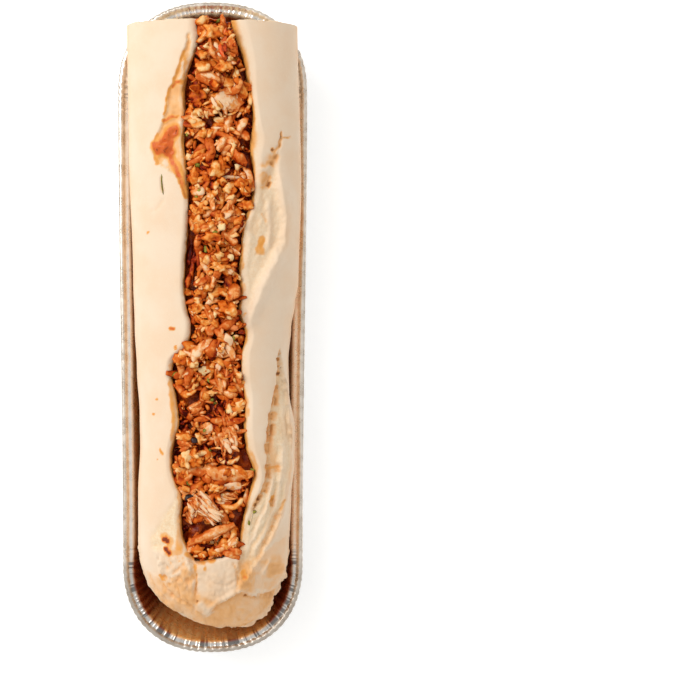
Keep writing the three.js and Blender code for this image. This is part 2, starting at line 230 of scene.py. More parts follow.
# %% Finish builder
class Finish:
    """A material being built, with short ways to add and join its nodes."""

    def __init__(self, name, **values):
        self.material = bpy.data.materials.new(name)
        self.material.use_nodes = True
        self.tree = self.material.node_tree
        self.shader = self.tree.nodes["Principled BSDF"]
        for socket, value in values.items():
            self.shader.inputs[socket.replace("_", " ")].default_value = value
        self.place = self.add("ShaderNodeTexCoord").outputs["Object"]

    def add(self, kind, inputs=None, **settings):
        node = self.tree.nodes.new(kind)
        for name, value in settings.items():
            setattr(node, name, value)
        for socket, value in (inputs or {}).items():
            if isinstance(value, bpy.types.NodeSocket):
                self.tree.links.new(value, node.inputs[socket])
            else:
                node.inputs[socket].default_value = value
        return node

    def mark(self, name):
        return self.add("ShaderNodeAttribute", attribute_name=name).outputs["Fac"]

    def noise(self, size_mm, detail=3.0, stretch=(1, 1, 1), roughness=0.55):
        """Noise with waves about size_mm wide, on the object's places in metres."""
        turned = self.add("ShaderNodeMapping", {"Vector": self.place, "Scale": stretch})
        values = {"Vector": turned.outputs[0], "Scale": 1000 / size_mm}
        values |= {"Detail": detail, "Roughness": roughness}
        return self.add("ShaderNodeTexNoise", values).outputs["Fac"]

    def between(self, value, low, high, to_low=0.0, to_high=1.0):
        """Stretches value's span from low to high over the new span, and holds it there."""
        values = {"Value": value, "From Min": low, "From Max": high, "To Min": to_low, "To Max": to_high}
        return self.add("ShaderNodeMapRange", values, interpolation_type="SMOOTHSTEP").outputs[0]

    def sum(self, a, b, kind="ADD"):
        return self.add("ShaderNodeMath", {0: a, 1: b}, operation=kind).outputs[0]

    def blend(self, share, first, second):
        node = self.add("ShaderNodeMix", data_type="RGBA")
        for socket, value in ((0, share), (6, first), (7, second)):
            if isinstance(value, bpy.types.NodeSocket):
                self.tree.links.new(value, node.inputs[socket])
            else:
                node.inputs[socket].default_value = value if socket == 0 else (*value, 1)
        return node.outputs[2]

    def send(self, output, socket):
        self.tree.links.new(output, self.shader.inputs[socket])

    def bump(self, *layers):
        """Relief from (height, depth in mm) layers, laid one over the other."""
        normal = None
        for height, depth in layers:
            inputs = {"Height": height, "Distance": depth * MM, "Strength": 1.0}
            if normal is not None:
                inputs["Normal"] = normal
            normal = self.add("ShaderNodeBump", inputs).outputs[0]
        self.send(normal, "Normal")

# %% [markdown]
# ## Camera, light and floor
#
# The camera stands a metre straight above the tray and is turned a few degrees, so that the tray comes
# to the left of the middle as in the reference. A lens shift could do that too, but it would follow the
# camera into every other view. One broad lamp on the left gives the soft shading across the crust, and
# an even pale sky fills the shadows. A darker band low in the sky gives the foil something to reflect.

# %% Camera
PICTURE_PX = 680
SENSOR_MM = 36
camera_data = bpy.data.cameras.new("camera_above")
camera_data.sensor_width = SENSOR_MM
camera_data.lens = FOCAL_PX / PICTURE_PX * SENSOR_MM
camera = link_new("camera_above", camera_data)
stand = Vector((0, 0, CAMERA_HEIGHT * MM))
picture_middle = from_picture([(PICTURE_PX / 2, PICTURE_PX / 2)], RIM_HEIGHT)[0]
backwards = (stand - Vector((*picture_middle, RIM_HEIGHT)) * MM).normalized()
sideways = Vector((0, 1, 0)).cross(backwards).normalized()
upwards = backwards.cross(sideways)
turned = Matrix((sideways, upwards, backwards)).transposed().to_4x4()
camera.matrix_world = Matrix.Translation(stand) @ turned
bpy.context.scene.camera = camera
print("lens", round(camera_data.lens, 1), "mm")

# %% Lamp, sky and floor
lamp_data = bpy.data.lights.new("lamp_left", "AREA")
lamp_data.size = 0.7
lamp_data.energy = 5.6
lamp_data.color = (1.0, 0.99, 0.97)
lamp = link_new("lamp_left", lamp_data)
lamp.location = (-0.58, 0.42, 0.74)
lamp.rotation_euler = (Vector((0, 0, 0.04)) - lamp.location).to_track_quat("-Z", "Y").to_euler()

sky = bpy.data.worlds.new("pale_sky")
bpy.context.scene.world = sky
sky.use_nodes = True
sky_nodes, sky_links = sky.node_tree.nodes, sky.node_tree.links
sky_place = sky_nodes.new("ShaderNodeTexCoord")
sky_height = sky_nodes.new("ShaderNodeSeparateXYZ")
sky_links.new(sky_place.outputs["Generated"], sky_height.inputs[0])
sky_ramp = sky_nodes.new("ShaderNodeValToRGB")
sky_ramp.color_ramp.elements[0].position = 0.05
sky_ramp.color_ramp.elements[0].color = (0.22, 0.21, 0.2, 1)
sky_ramp.color_ramp.elements[1].position = 0.45
sky_ramp.color_ramp.elements[1].color = (1.0, 0.965, 0.92, 1)
sky_links.new(sky_height.outputs["Z"], sky_ramp.inputs[0])
sky_links.new(sky_ramp.outputs[0], sky_nodes["Background"].inputs["Color"])
sky_nodes["Background"].inputs["Strength"].default_value = 0.75
bpy.context.scene.view_settings.view_transform = "Standard"

FLOOR_SIZE = 6.0
floor_finish = Finish("pale_table", Roughness=0.7)
cloudy = floor_finish.noise(60, detail=2)
floor_finish.send(floor_finish.blend(cloudy, (0.93, 0.93, 0.93), (0.97, 0.97, 0.97)), "Base Color")
floor_finish.shader.inputs["Emission Color"].default_value = (0.95, 0.98, 1.0, 1)
floor_finish.shader.inputs["Emission Strength"].default_value = 0.42
floor_mesh = bpy.data.meshes.new("table_top")
half = FLOOR_SIZE / 2
corners = [(-half, -half, 0), (half, -half, 0), (half, half, 0), (-half, half, 0)]
floor_mesh.from_pydata(corners, [], [(0, 1, 2, 3)])
floor_mesh.materials.append(floor_finish.material)
floor = link_new("table_top", floor_mesh)
floor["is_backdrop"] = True

# %% [markdown]
# ## The foil tray
#
# A real tray is pressed from one sheet of foil. Where the flat sheet is drawn round the ends, there is too
# much of it, so it gathers into fine radial pleats on the ledge and long creases down the wall, and its
# edge is curled over and crimped. A lattice of pleats could be sculpted, or faked with bump, but the
# pleats catch light along their whole length, so here they are real relief: the tray's section is swept
# round its outline, and every point is pushed in or out by how far round it lies.

# %% The tray's outline
TRAY_LENGTH = 286.0
TRAY_HALF_CUT, TRAY_HALF_ROUND = 41.6, 39.6
TRAY_END = 40.0
TRAY_POWER = 2.3
BEAD_HALF_WIDTH, BEAD_HALF_HEIGHT = 1.5, 1.1
LEDGE_END = 5.3
WALL_FOOT = 10.8
FOOT_RADIUS = 2.0
CAD_FOIL = 0.7
STRAIGHT_HALF = TRAY_LENGTH / 2 - TRAY_END
LEDGE_TOP = RIM_HEIGHT - BEAD_HALF_HEIGHT + 0.3
FOOT_TOP = CAD_FOIL + FOOT_RADIUS


def tray_half(y):
    return mix(TRAY_HALF_ROUND, TRAY_HALF_CUT, smooth((y + STRAIGHT_HALF) / (2 * STRAIGHT_HALF)))


def tray_inside(y, inset):
    """Half width of the tray at y, on the line that lies inset from its outer edge."""
    past = np.maximum(0, np.abs(y) - STRAIGHT_HALF) / (TRAY_END - inset)
    return (tray_half(y) - inset) * np.maximum(0, 1 - past**TRAY_POWER) ** (1 / TRAY_POWER)


def tray_outline(turn, inset):
    """Plan points on the outline: turn runs 0-1 round the cut end, 1-2 down the left side, and so on."""
    quarter = np.floor(turn).astype(int) % 4
    share = turn - np.floor(turn)
    at_end = quarter % 2 == 0
    sign = np.where(quarter < 2, 1, -1)
    squared = lambda v: np.sign(v) * np.abs(v) ** (2 / TRAY_POWER)
    angle = np.pi * share
    y_end = sign * (STRAIGHT_HALF + (TRAY_END - inset) * squared(np.sin(angle)))
    y = np.where(at_end, y_end, sign * mix(STRAIGHT_HALF, -STRAIGHT_HALF, share))
    x = sign * (tray_half(y) - inset) * np.where(at_end, squared(np.cos(angle)), -1)
    return np.stack([x, y], axis=-1)


def spread_turns(count, sparse_share):
    """Values of turn along the rim, closer together round the ends, and how many mm along it each is."""
    fine = np.linspace(0, 4, 16001)
    places = tray_outline(fine, BEAD_HALF_WIDTH)
    steps = np.linalg.norm(np.diff(places, axis=0), axis=1)
    gone = np.concatenate([[0], np.cumsum(steps)])
    at_end = smooth((np.abs(places[1:, 1]) - STRAIGHT_HALF + 20) / 15)
    weighted = np.concatenate([[0], np.cumsum(steps * mix(sparse_share, 1, at_end))])
    turn = np.interp(np.linspace(0, weighted[-1], count, endpoint=False), weighted, fine)
    return turn, np.interp(turn, fine, gone)


COLUMNS = 1900
turns, way = spread_turns(COLUMNS, 0.3)
print("the rim is", round(way[-1]), "mm round, with columns from", np.diff(way).min().round(2), "mm apart")

# %% [markdown]
# ### Pleats, creases and crimps
#
# Three kinds of fold run across the foil. The ledge has fine uneven pleats a millimetre or two apart, the
# wall has wider creases that fade towards its foot, and the curled edge is crimped in short dents. All of
# them fade out along the straight sides, where the foil isn't gathered. The spacing wanders, so that no
# two pleats are alike.

# %% Folds in the foil
def folds(way, spacing, sharpness, seed):
    """Rows of creases from -1 to 1 along the rim, with uneven spacing and depth."""
    line = points_at(way)
    wander = waves(line, 4 * spacing, seed) * 0.9
    wave = np.sin(2 * np.pi * way / spacing + 2 * wander)
    crease = np.sign(wave) * np.abs(wave) ** sharpness
    return crease * mix(0.35, 1.0, 0.5 + 0.5 * waves(line, 2 * spacing, seed + 1))


rim_places = tray_outline(turns, BEAD_HALF_WIDTH)
gathered = smooth((np.abs(rim_places[:, 1]) - STRAIGHT_HALF + 16) / 22)
rim_line = points_at(way)
pleats = 1.5 * waves(rim_line, 0.75, 11) + 1.3 * waves(rim_line, 2.4, 12) + 0.4 * folds(way, 1.7, 1, 13)
pleats = np.clip(pleats, -1, 1) * mix(0.03, 1, gathered)
creases = folds(way, 4.3, 0.8, 21) * mix(0.05, 1, gathered)
crimps = folds(way, 3.1, 0.7, 31) * mix(0.08, 1, gathered)
sway = waves(rim_line, 38, 41)
dents = smooth((waves(rim_line + 9, 7, 42) - 0.35) / 0.4)

# Points of the section: inset from the outer edge, height, then how far pleats, creases and crimps move it
OUTSIDE = rows_of("""
    16.5 0 0 0 0, 14.6 0 0 0 0, 13 0 0 0 0, 12.1 0 0 .05 0, 11.2 .35 0 .15 0, 10.5 1.1 0 .3 0,
    10.1 2.2 0 .45 0, 9.3 6 0 .6 0, 8.4 10.5 0 .75 0, 7.45 15 0 .9 0, 6.5 19.5 .1 1 0, 5.6 23.6 .3 1 0,
    5.05 26.2 .6 .7 0, 4.75 26.85 .9 .3 0, 4 26.95 1 0 0, 3.1 26.85 .8 0 .3, 2.5 26.3 .3 0 .7,
    1.6 25.85 0 0 1, .75 26 0 0 1, .2 26.5 0 0 1
""")
BEAD = rows_of(".05 27 0 0 1, .3 27.55 0 0 1, .85 27.95 0 0 1, 1.5 28 0 0 1")
INSIDE = rows_of("""
    2.15 27.8 .1 0 .9, 2.7 27.4 .5 0 .5, 3.2 27.22 .9 0 .2, 4 27.2 1 0 0, 4.75 27.15 1 .2 0,
    5.25 26.75 .8 .5 0, 5.5 25.9 .5 .8 0, 6 23.6 .3 1 0, 6.85 19.5 .1 1 0, 7.8 15 0 .9 0,
    8.75 10.5 0 .75 0, 9.7 6 0 .6 0, 10.5 2.4 0 .45 0, 10.9 1.35 0 .3 0, 11.5 .6 0 .15 0,
    12.4 .28 0 .05 0, 13.2 .25 0 0 0, 14.6 .25 0 0 0, 16.5 .25 0 0 0
""")
PLEAT_DEPTH, CREASE_DEPTH, CRIMP_DEPTH, DENT_DEPTH, SWAY = 0.26, 0.42, 0.24, 0.3, 0.35

SECTION, INSIDE_START = OUTSIDE + BEAD + INSIDE, len(OUTSIDE + BEAD)
tray_rings = []
for index, (inset, height, pleated, creased, crimped) in enumerate(SECTION):
    depth = pleated * (PLEAT_DEPTH * pleats + DENT_DEPTH * dents)
    softer = 0.6 if index >= INSIDE_START else 1
    pushed = softer * creased * CREASE_DEPTH * creases + crimped * CRIMP_DEPTH * crimps
    pushed = pushed + SWAY * sway * min(1, height / RIM_HEIGHT) * (inset > 0.5)
    plan = tray_outline(turns, inset + np.maximum(pushed, 0.02 - inset))
    dipped = 0.35 * crimped * CRIMP_DEPTH * np.minimum(0, crimps)
    low = height - np.maximum(0, depth) + dipped
    tray_rings.append(np.column_stack([plan, np.clip(low, 0, RIM_HEIGHT)]))
tray_points = np.concatenate(tray_rings)
tray_faces = tube_faces(len(tray_rings), COLUMNS)

# %% [markdown]
# ### The foil's finish
#
# Thin foil is a mirror with countless tiny dents, so its gloss is broken by noise at several sizes. The
# inside of the wall and the ledge on the right side are painted brown: a painted reflection of the crust
# beside them, with a film of grease and sauce on the wall. That brown is darkened by painted shade where
# the bread shades the wall, and the valleys of the pleats and creases, the outside and the round end's
# ledge are darkened by painted shade too. The height and the side of the foil tell the finish where these
# tones begin.

# %% Foil finish
tray_reflected_crust, tray_curl, tray_fold_shade = [], [], []
at_cut = smooth((rim_places[:, 1] - 98) / 12)
at_round = smooth((-rim_places[:, 1] - 98) / 12)
right_side = smooth(rim_places[:, 0] / 5) * (1 - gathered)
# Painted shade: the inner wall is darkened everywhere but at the round end's tip, and less along the straight
# sides
shaded = (1 - smooth((-rim_places[:, 1] - 124) / 13)) * (0.45 + 0.55 * gathered)
for index, (inset, height, pleated, creased, crimped) in enumerate(SECTION):
    facing_in = index >= INSIDE_START
    # Painted reflection: the inner wall, and the ledge on the right side, take the brown of the crust they
    # mirror
    wall_reflection = smooth((inset - 4.4 - 0.8 * (1 - gathered)) / 0.6) * (1 - 0.9 * at_cut * (inset < 5.6))
    ledge_reflection = smooth((inset - 1.8) / 0.9) * (0.42 * right_side + 0.05 * (1 - gathered))
    tray_reflected_crust.append(np.maximum(wall_reflection, np.clip(ledge_reflection, 0, 1)) * facing_in)
    tray_curl.append(np.full(COLUMNS, 1.0 if crimped > 0.4 else 0.0))
    # Painted shade: pleat and crease valleys are darkened, and the inner wall where the bread shades it; the
    # outside and the round end's ledge are greyed by painted shade
    shaded_valley = smooth(-pleats * 1.6) * pleated + (0.2 if facing_in else 1) * smooth(-creases * 1.2) * creased
    shaded_valley = shaded_valley * gathered * (1 - 0.65 * at_cut) + 0.95 * wall_reflection * facing_in * shaded
    grey_shade = 0.3 if index < len(OUTSIDE) and crimped < 0.4 else 0.36 * at_round * (1 - wall_reflection)
    tray_fold_shade.append(np.clip(shaded_valley + grey_shade, 0, 1))
foil = Finish("crimped_foil")
scuffs = foil.noise(4.5, detail=4)
streaks = foil.noise(1.3, detail=2, stretch=(1, 1, 0.1))
reflected_crust, curl = foil.mark("reflected_crust"), foil.mark("curl")
silver = foil.blend(foil.between(scuffs, 0.35, 0.65), (0.80, 0.78, 0.76), (0.93, 0.92, 0.90))
# Painted reflection: the curled edge takes a beige tone that stands for what it mirrors
reflected_beige = foil.blend(foil.between(scuffs, 0.3, 0.7), (0.66, 0.57, 0.48), (0.88, 0.82, 0.74))
plain = foil.blend(curl, silver, reflected_beige)
# Painted shade: the foil is darkened where the shade mark says
plain = foil.blend(foil.sum(foil.mark("fold_shade"), 0.85, "MULTIPLY"), plain, (0.10, 0.09, 0.085))
# Painted reflection: the brown that the inner wall mirrors from the crust
brown = foil.blend(foil.between(streaks, 0.3, 0.7), (0.98, 0.46, 0.12), (1.0, 0.66, 0.28))
# Painted shade on the brown of the inner wall
brown = foil.blend(foil.mark("fold_shade"), brown, (0.24, 0.03, 0.002))
foil.send(foil.blend(reflected_crust, plain, brown), "Base Color")
foil.send(foil.between(reflected_crust, 0, 1, 1.0, 0.25), "Metallic")
foil.send(foil.between(scuffs, 0.3, 0.7, 0.24, 0.36), "Roughness")
foil.bump((scuffs, 0.15), (foil.noise(1.1, detail=2), 0.03))
tray_rows = {"reflected_crust": tray_reflected_crust, "curl": tray_curl, "fold_shade": tray_fold_shade}
tray_marks = {mark: np.concatenate(rows) for mark, rows in tray_rows.items()}
tray = make_piece("foil_tray_shell", tray_points, tray_faces, foil.material, tray_marks)
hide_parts("foil_tray")

# %% [markdown]
# ## The bread roll
#
# The roll is a half baguette: one end round, the other cut straight. Its section is a squared ellipse
# with a slit let in from the top. One closed ring of points goes up the left side, over the lip, down
# the slit's wall, across its floor and back over the right side, and some four hundred such rings make
# the roll. Carving the slit out of a solid loaf by a boolean would also work, but the loft keeps its
# points in even rows, which the crust's relief needs. Where the crust is still whole, at the round end,
# the slit's points simply lie on top of the crust.

# %% Lines measured in the picture
# Where bread and filling meet
LEFT_MOUTH_PX = pairs("""
    197,15 198,48 191,66 185,95 186,114 184,144 188,176 189,205 188,230 185,266 186.5,308 191,326 187,345
    174,361 172,376 176,398 178,430 173.5,445 175,481 182,498 181,519 184,542 192,558 195,575
""")
RIGHT_MOUTH_PX = pairs("""
    229.5,15 235,39 243.5,61 246.5,78 251,99 253.5,118 251,137 251,154 254,172 254,188 250,205 244,222
    241,251 239,273 241,292 239,314 246,334 242,354 242,376 245,398 244,430 247,451 254,472 248,500
    242,527 239,550 237,575
""")
# The top of the lip beside it
LEFT_RIDGE_PX = pairs("""
    188.5,15 187,45 183,62 179,80 179,114 178,144 181,176 183,205 182,230 179.5,266 181,308 185,326 180,345
    167,361 166,376 170,398 171,430 167,445 168,481 175,498 174,519 177,542 184,558 187,575
""")
RIGHT_RIDGE_PX = pairs("""
    243,15 250,38 255,62 257,94 261,122 265,139 262,155 262,172 262,188 258,205 252,222 250,251 248,273
    250,292 248,314 254,334 250,354 250,376 253,398 253,430 256,451 262,472 257,500 251,527 248,550
    246,575
""")

def spline(stations, position):
    """A rounder curve than along: a cubic through the stations that keeps their mean slope."""
    at, value = np.array(stations, float).T
    slope = np.gradient(value, at)
    position = np.clip(position, at[0], at[-1])
    left = np.clip(np.searchsorted(at, position, side="right") - 1, 0, len(at) - 2)
    width = at[left + 1] - at[left]
    t = (position - at[left]) / width
    ends = (1 + 2 * t) * (1 - t) ** 2 * value[left] + t * t * (3 - 2 * t) * value[left + 1]
    return ends + width * (t * (1 - t) ** 2 * slope[left] + t * t * (t - 1) * slope[left + 1])


def stations_from(line):
    """[Y, distance from the middle line] stations from a line in the picture."""
    plan = from_picture(line, LIP_HEIGHT)[::-1]
    return np.column_stack([plan[:, 1], np.abs(plan[:, 0])])


MOUTH = {-1: stations_from(LEFT_MOUTH_PX), 1: stations_from(RIGHT_MOUTH_PX)}
RIDGE = {-1: stations_from(LEFT_RIDGE_PX), 1: stations_from(RIGHT_RIDGE_PX)}
for side, line in MOUTH.items():
    print("mouth on side", side, "from", line[:, 1].min().round(1), "to", line[:, 1].max().round(1))

# %% The roll's sizes
# The crust's widest place on both sides: [Y, distance from the middle line] stations in mm
EDGE = {
    -1: pairs("-95,32.6 -72,32.7 -52,31.8 -38,32 -18,33.2 0,34.1 20,34.7 80,36.4 130,37"),
    1: pairs("-95,33.4 -74,34.3 -58,35.8 -44,35.8 -28,33.3 -14,33 0,34.2 10,35.8 20,37.3 60,38.4 130,36.6"),
}
ROUND_TIP, CUT_FACE, ROUND_LENGTH = -131.5, 130.0, 38.0
END_RINGS, STRAIGHT_RINGS = 84, 321
CROWN_ROUND, CROWN_CUT, UNDERSIDE, LIFT_CUT, LIFT_START = 57.0, 66.0, 1.1, 13.0, -30.0
WIDEST_SHARE, UNDER_POWER, CROWN_POWER = 0.54, 2.25, 2.15
SLIT_FLOOR, FLOOR_SHARE, FLOOR_CORNER, WALL_CURVE, LIP_DROP, END_SLOPE = 19.0, 0.72, 3.0, 1.6, 3.6, 2.5
SLIT_END, SLIT_SKEW = (-7.7, -101.6), 0.25
RIDGE_LIMIT = 0.72  # the lip's top is at most this share of the half width from the middle
TRAY_GAP, OVER_RIM_SLOPE = 0.9, 2.2
# How far the round tip leans to the right: [Y, mm] stations
LEAN = pairs("-131.5,6.5 -128,5.2 -125,4 -120,2 -111,.3 -104,0")
UNDER_POINTS, UPPER_POINTS, LIP_POINTS, WALL_POINTS, FLOOR_POINTS = 8, 84, 10, 9, 4


def fullness(y):
    past = np.clip((ROUND_TIP + ROUND_LENGTH - y) / ROUND_LENGTH, 0, 1)
    return np.sqrt(np.maximum(0, 1 - past * past))


def levels(y):
    """Heights of the underside, the widest line and the crown."""
    rise = smooth((y - LIFT_START) / (CUT_FACE - LIFT_START))
    under = UNDERSIDE + LIFT_CUT * rise
    crown = mix(CROWN_ROUND, CROWN_CUT, rise)
    widest = mix(under, crown, WIDEST_SHARE)
    full = fullness(y) ** 0.8
    return mix(widest, under, full), widest, mix(widest, crown, full)


def by_side(x, value):
    """The value of the side, -1 or 1, that each x lies on."""
    return np.where(x < 0, value(-1), value(1))


def half_width(y, side):
    return along(EDGE[side], y) * fullness(y)


def crust_height(x, y, side):
    under, widest, crown = levels(y)
    share = np.abs(x) / np.maximum(half_width(y, side), 0.01)
    return mix(widest, crown, np.maximum(0, 1 - share**CROWN_POWER) ** (1 / CROWN_POWER))


def tray_limit(y, z):
    """How far out the roll may reach inside the tray, and over its rim."""
    down = np.clip((LEDGE_TOP - z) / (LEDGE_TOP - FOOT_TOP), 0, 1)
    inside = tray_inside(y, mix(LEDGE_END, WALL_FOOT, down) + np.maximum(0, FOOT_TOP - z) + TRAY_GAP)
    return inside + np.maximum(0, z - RIM_HEIGHT - 0.4) * OVER_RIM_SLOPE


def slit_start(x):
    """Y where the slit's end wall begins; it runs slightly askew."""
    return SLIT_END[1] + SLIT_SKEW * (x - SLIT_END[0]) + 0.5 * waves(points_at(x), 3, 51)


# %% The roll's section
def roll_side(y, side):
    """One side of the section from the underside to the slit's floor: across, height, and kind of place."""
    under, widest, crown = levels(y)
    half = half_width(y, side)
    mouth = spline(MOUTH[side], y)
    ridge = np.minimum(spline(RIDGE[side], y), half * RIDGE_LIMIT)
    ridge_angle = np.arccos((ridge / np.maximum(half, 0.01)) ** (CROWN_POWER / 2))
    up_to_widest = mix(-np.pi / 2, 0, np.arange(1, UNDER_POINTS + 1) / UNDER_POINTS)[None, :]
    over_it = ridge_angle * (np.arange(1, UPPER_POINTS + 1) / UPPER_POINTS)[None, :]
    angle = beside(np.broadcast_to(up_to_widest, (len(y), UNDER_POINTS)), over_it)
    power = 2 / np.where(angle < 0, UNDER_POWER, CROWN_POWER)
    up = np.abs(np.sin(angle)) ** power
    height = mix(widest, np.where(angle <= 0, under, crown), up)
    across = np.minimum(half * np.abs(np.cos(angle)) ** power, tray_limit(y, height))
    top = crust_height(mouth, y, side)
    bend = (np.arange(1, LIP_POINTS) / LIP_POINTS * np.pi / 2)[None, :]
    lip = mix(ridge, mouth, np.sin(bend)), mix(top - LIP_DROP, height[:, -1:], np.cos(bend))
    down = (np.arange(WALL_POINTS) / WALL_POINTS)[None, :]
    foot, floor_height = mouth * FLOOR_SHARE, under + SLIT_FLOOR
    wall = mix(mouth, foot, down**WALL_CURVE), mix(top - LIP_DROP, floor_height + FLOOR_CORNER, down)
    turn = (np.arange(FLOOR_POINTS) / FLOOR_POINTS * np.pi / 2)[None, :]
    bottom = foot * np.cos(turn), floor_height + FLOOR_CORNER * (1 - np.sin(turn))
    open_across = beside(lip[0], wall[0], bottom[0])
    open_height = beside(lip[1], wall[1], bottom[1])
    count = open_across.shape[1]
    closed_across = ridge * (1 - (np.arange(count) + 1) / (count + 0.7))[None, :]
    closed_height = crust_height(closed_across, y, side)
    opened = smooth((y - slit_start(side * closed_across)) / END_SLOPE)
    across = beside(across, mix(closed_across, open_across, opened))
    height = beside(height, mix(closed_height, open_height, opened))
    lip_share = beside(1 - 0.5 * np.sin(bend), np.zeros((1, count - LIP_POINTS + 1)))
    outside = beside(smooth(angle / 0.5), np.maximum(lip_share, 1 - opened))
    cut_in = beside(np.zeros_like(angle), np.minimum(opened, smooth(np.arange(count) / 6)))
    return across, height, outside, cut_in


# %% The roll's rings
end_turn = np.linspace(0.03, np.pi / 2, END_RINGS)
end_rows = ROUND_TIP + ROUND_LENGTH * (1 - np.cos(end_turn))
roll_y = np.concatenate([end_rows, np.linspace(end_rows[-1], CUT_FACE, STRAIGHT_RINGS + 1)[1:]])[:, None]
sides = {side: roll_side(roll_y, side) for side in (-1, 1)}
middle_open = smooth((roll_y - slit_start(np.zeros_like(roll_y))) / END_SLOPE)
roll_under, roll_widest, roll_crown = levels(roll_y)
middle_height = mix(roll_crown, roll_under + SLIT_FLOOR, middle_open)
nothing = np.zeros_like(roll_y)


def all_round(part, bottom, middle, left_sign=1):
    """Joins one part of both sides: bottom, up the left, the slit's middle, down the right."""
    return beside(bottom, left_sign * sides[-1][part], middle, sides[1][part][:, ::-1])


roll_x = all_round(0, nothing, nothing, -1) + spline(LEAN, roll_y)
roll_z = all_round(1, np.minimum(roll_under, roll_widest), middle_height)
on_crust = all_round(2, nothing, 1 - middle_open)
in_slit = all_round(3, nothing, middle_open)
roll = points_at(roll_x, roll_y, roll_z)
roll_rows, roll_columns = roll_x.shape
print("the roll has", roll_rows, "rings of", roll_columns, "points")

# %% [markdown]
# ### Cuts, tears and stains in the crust
#
# The baker's cuts opened in the oven and left two long scars of pale rough crumb on the right, each with
# a raised ear along one edge and a brown crease along the other, darkened partly as painted shade where
# the crust above overhangs it. On the left the slit has torn out a tongue of crust. These lie where the
# picture shows them, so they are written as outlines and lines in picture points. A height painted on an
# image would need a texture, while outlines stay short.

# %% Distances to measured lines
def to_line(plan, line):
    """Distance in mm of plan points from a line, and how far along it the nearest place is, 0 to 1."""
    corners = from_picture(line, CRUST_HEIGHT)
    runs = np.diff(corners, axis=0)
    nearest = np.full(plan.shape[:-1], np.inf)
    way_along = np.zeros_like(nearest)
    for index, (start, run) in enumerate(zip(corners, runs)):
        share = np.clip((plan - start) @ run / (run @ run), 0, 1)
        gap = np.linalg.norm(plan - start - share[..., None] * run, axis=-1)
        way_along = np.where(gap < nearest, (index + share) / len(runs), way_along)
        nearest = np.minimum(nearest, gap)
    return nearest, way_along


def depth_in(plan, outline):
    """How far inside an outline plan points lie, in mm; outside it is negative."""
    closed = [*outline, outline[0]]
    corners = from_picture(closed, CRUST_HEIGHT)
    x, y = plan[..., 0], plan[..., 1]
    inside = np.zeros(x.shape, bool)
    for (x0, y0), (x1, y1) in zip(corners[:-1], corners[1:]):
        inside ^= ((y0 > y) != (y1 > y)) & (x < x0 + (y - y0) * (x1 - x0) / (y1 - y0 + 1e-9))
    return np.where(inside, 1, -1) * to_line(plan, closed)[0]


# %% Scars and torn places
# Each scar: its outline, the line where it is deepest, and the line of the raised ear along its outer
# edge. In mm: its depth at the edge and in the deepest line, how far that line reaches, how wide the
# edge's slope and the ear are, and how high its ridges stand. As shares: how dark its deepest line is,
# as browning and as painted shade, and how raw its crumb.
SCARS = [
    {
        "outline": pairs("""
            236,345 232,300 234,230 246,200 254,187 268,165 281,143 281,186 288,215 286.5,244 278.6,259
            267,278 260,297 251,321 246,331
        """),
        "deep": pairs("280,146 273,152 268,167 256,186 250,205 243,222 240,260 239,330"),
        "ear": pairs("281,165 281.5,186 288,215 286.5,244 278.6,259 267,278 258,300 247,328"),
        "depth": (1.1, 2.2), "reach": 5.0, "step": 4.0, "ear_width": 2.8,
        "ridged": 0.35, "browning_and_painted_light": 0.12, "raw": 0.55,
    },
    {
        "outline": pairs("""
            278.6,348 284,360 287,385 290,410 292,440 291,470 286,495 280,520 272,540 259,562 247,580
            236,590 236,572 238,560 241,545 245,525 250,512 256,500 262,490 266,470 265,445 269,415
            276,386
        """),
        "deep": pairs("278.6,350 277,386 270,415 266,445 267,470 262,490 250,512 241,545 238,570"),
        "ear": pairs("""
            284,362 288,385 291,410 293,440 292,470 287,497 281,521 273,538 260,556 249,576 235,595 222,604
            208,610
        """),
        "depth": (0.6, 2.7), "reach": 2.8, "step": 1.2, "ear_width": 1.4,
        "ridged": 0.75, "browning_and_painted_light": 0.36, "raw": 0.85,
    },
]
# The tongue torn out beside the slit, a patch of rough crumb, one of flakes, and the paler end of the roll
TORN_LIP = pairs("""
    187,36 184.5,52 175,78 168.8,91.5 166,111 162,124 154.4,141 152.5,154 157,166 168,171 176,178 186,200
    192,200 192,36
""")
ROUGH_PATCH = pairs("178,490 186,500 184,530 178,545 163,556 150,552 147,540 160,518")
FLAKY_PATCH = pairs("150,543 163,557 180,553 194,562 198,580 196,598 188,592 176,586 170,592 158,578")
END_PATCH = pairs("199,556 240,548 240,560 243,572 240,588 230,598 220,603 210,602 200,596 195,585 194,572")

# %% Plates, creases and pits
# Plates of crust at the round end: the outline, how high it stands in mm and how brown it is; the first,
# lower plate's brown is partly painted shade
PLATES = table("""
204,617 216,606 234,596 247,594 256,600 266,597 278,595 290,580 296,600 272,632 240,644 206,640 | -.5 .34
171,577 178,579 191,576 193,590 191,602 182,600 174,592 | .35 .36
146,573 158,580 168,596 180,604 192,608 190,622 168,612 146,592 | .25 .27
246,570 262,556 276,544 292,536 292,572 278,590 252,592 | .3 .17
""")
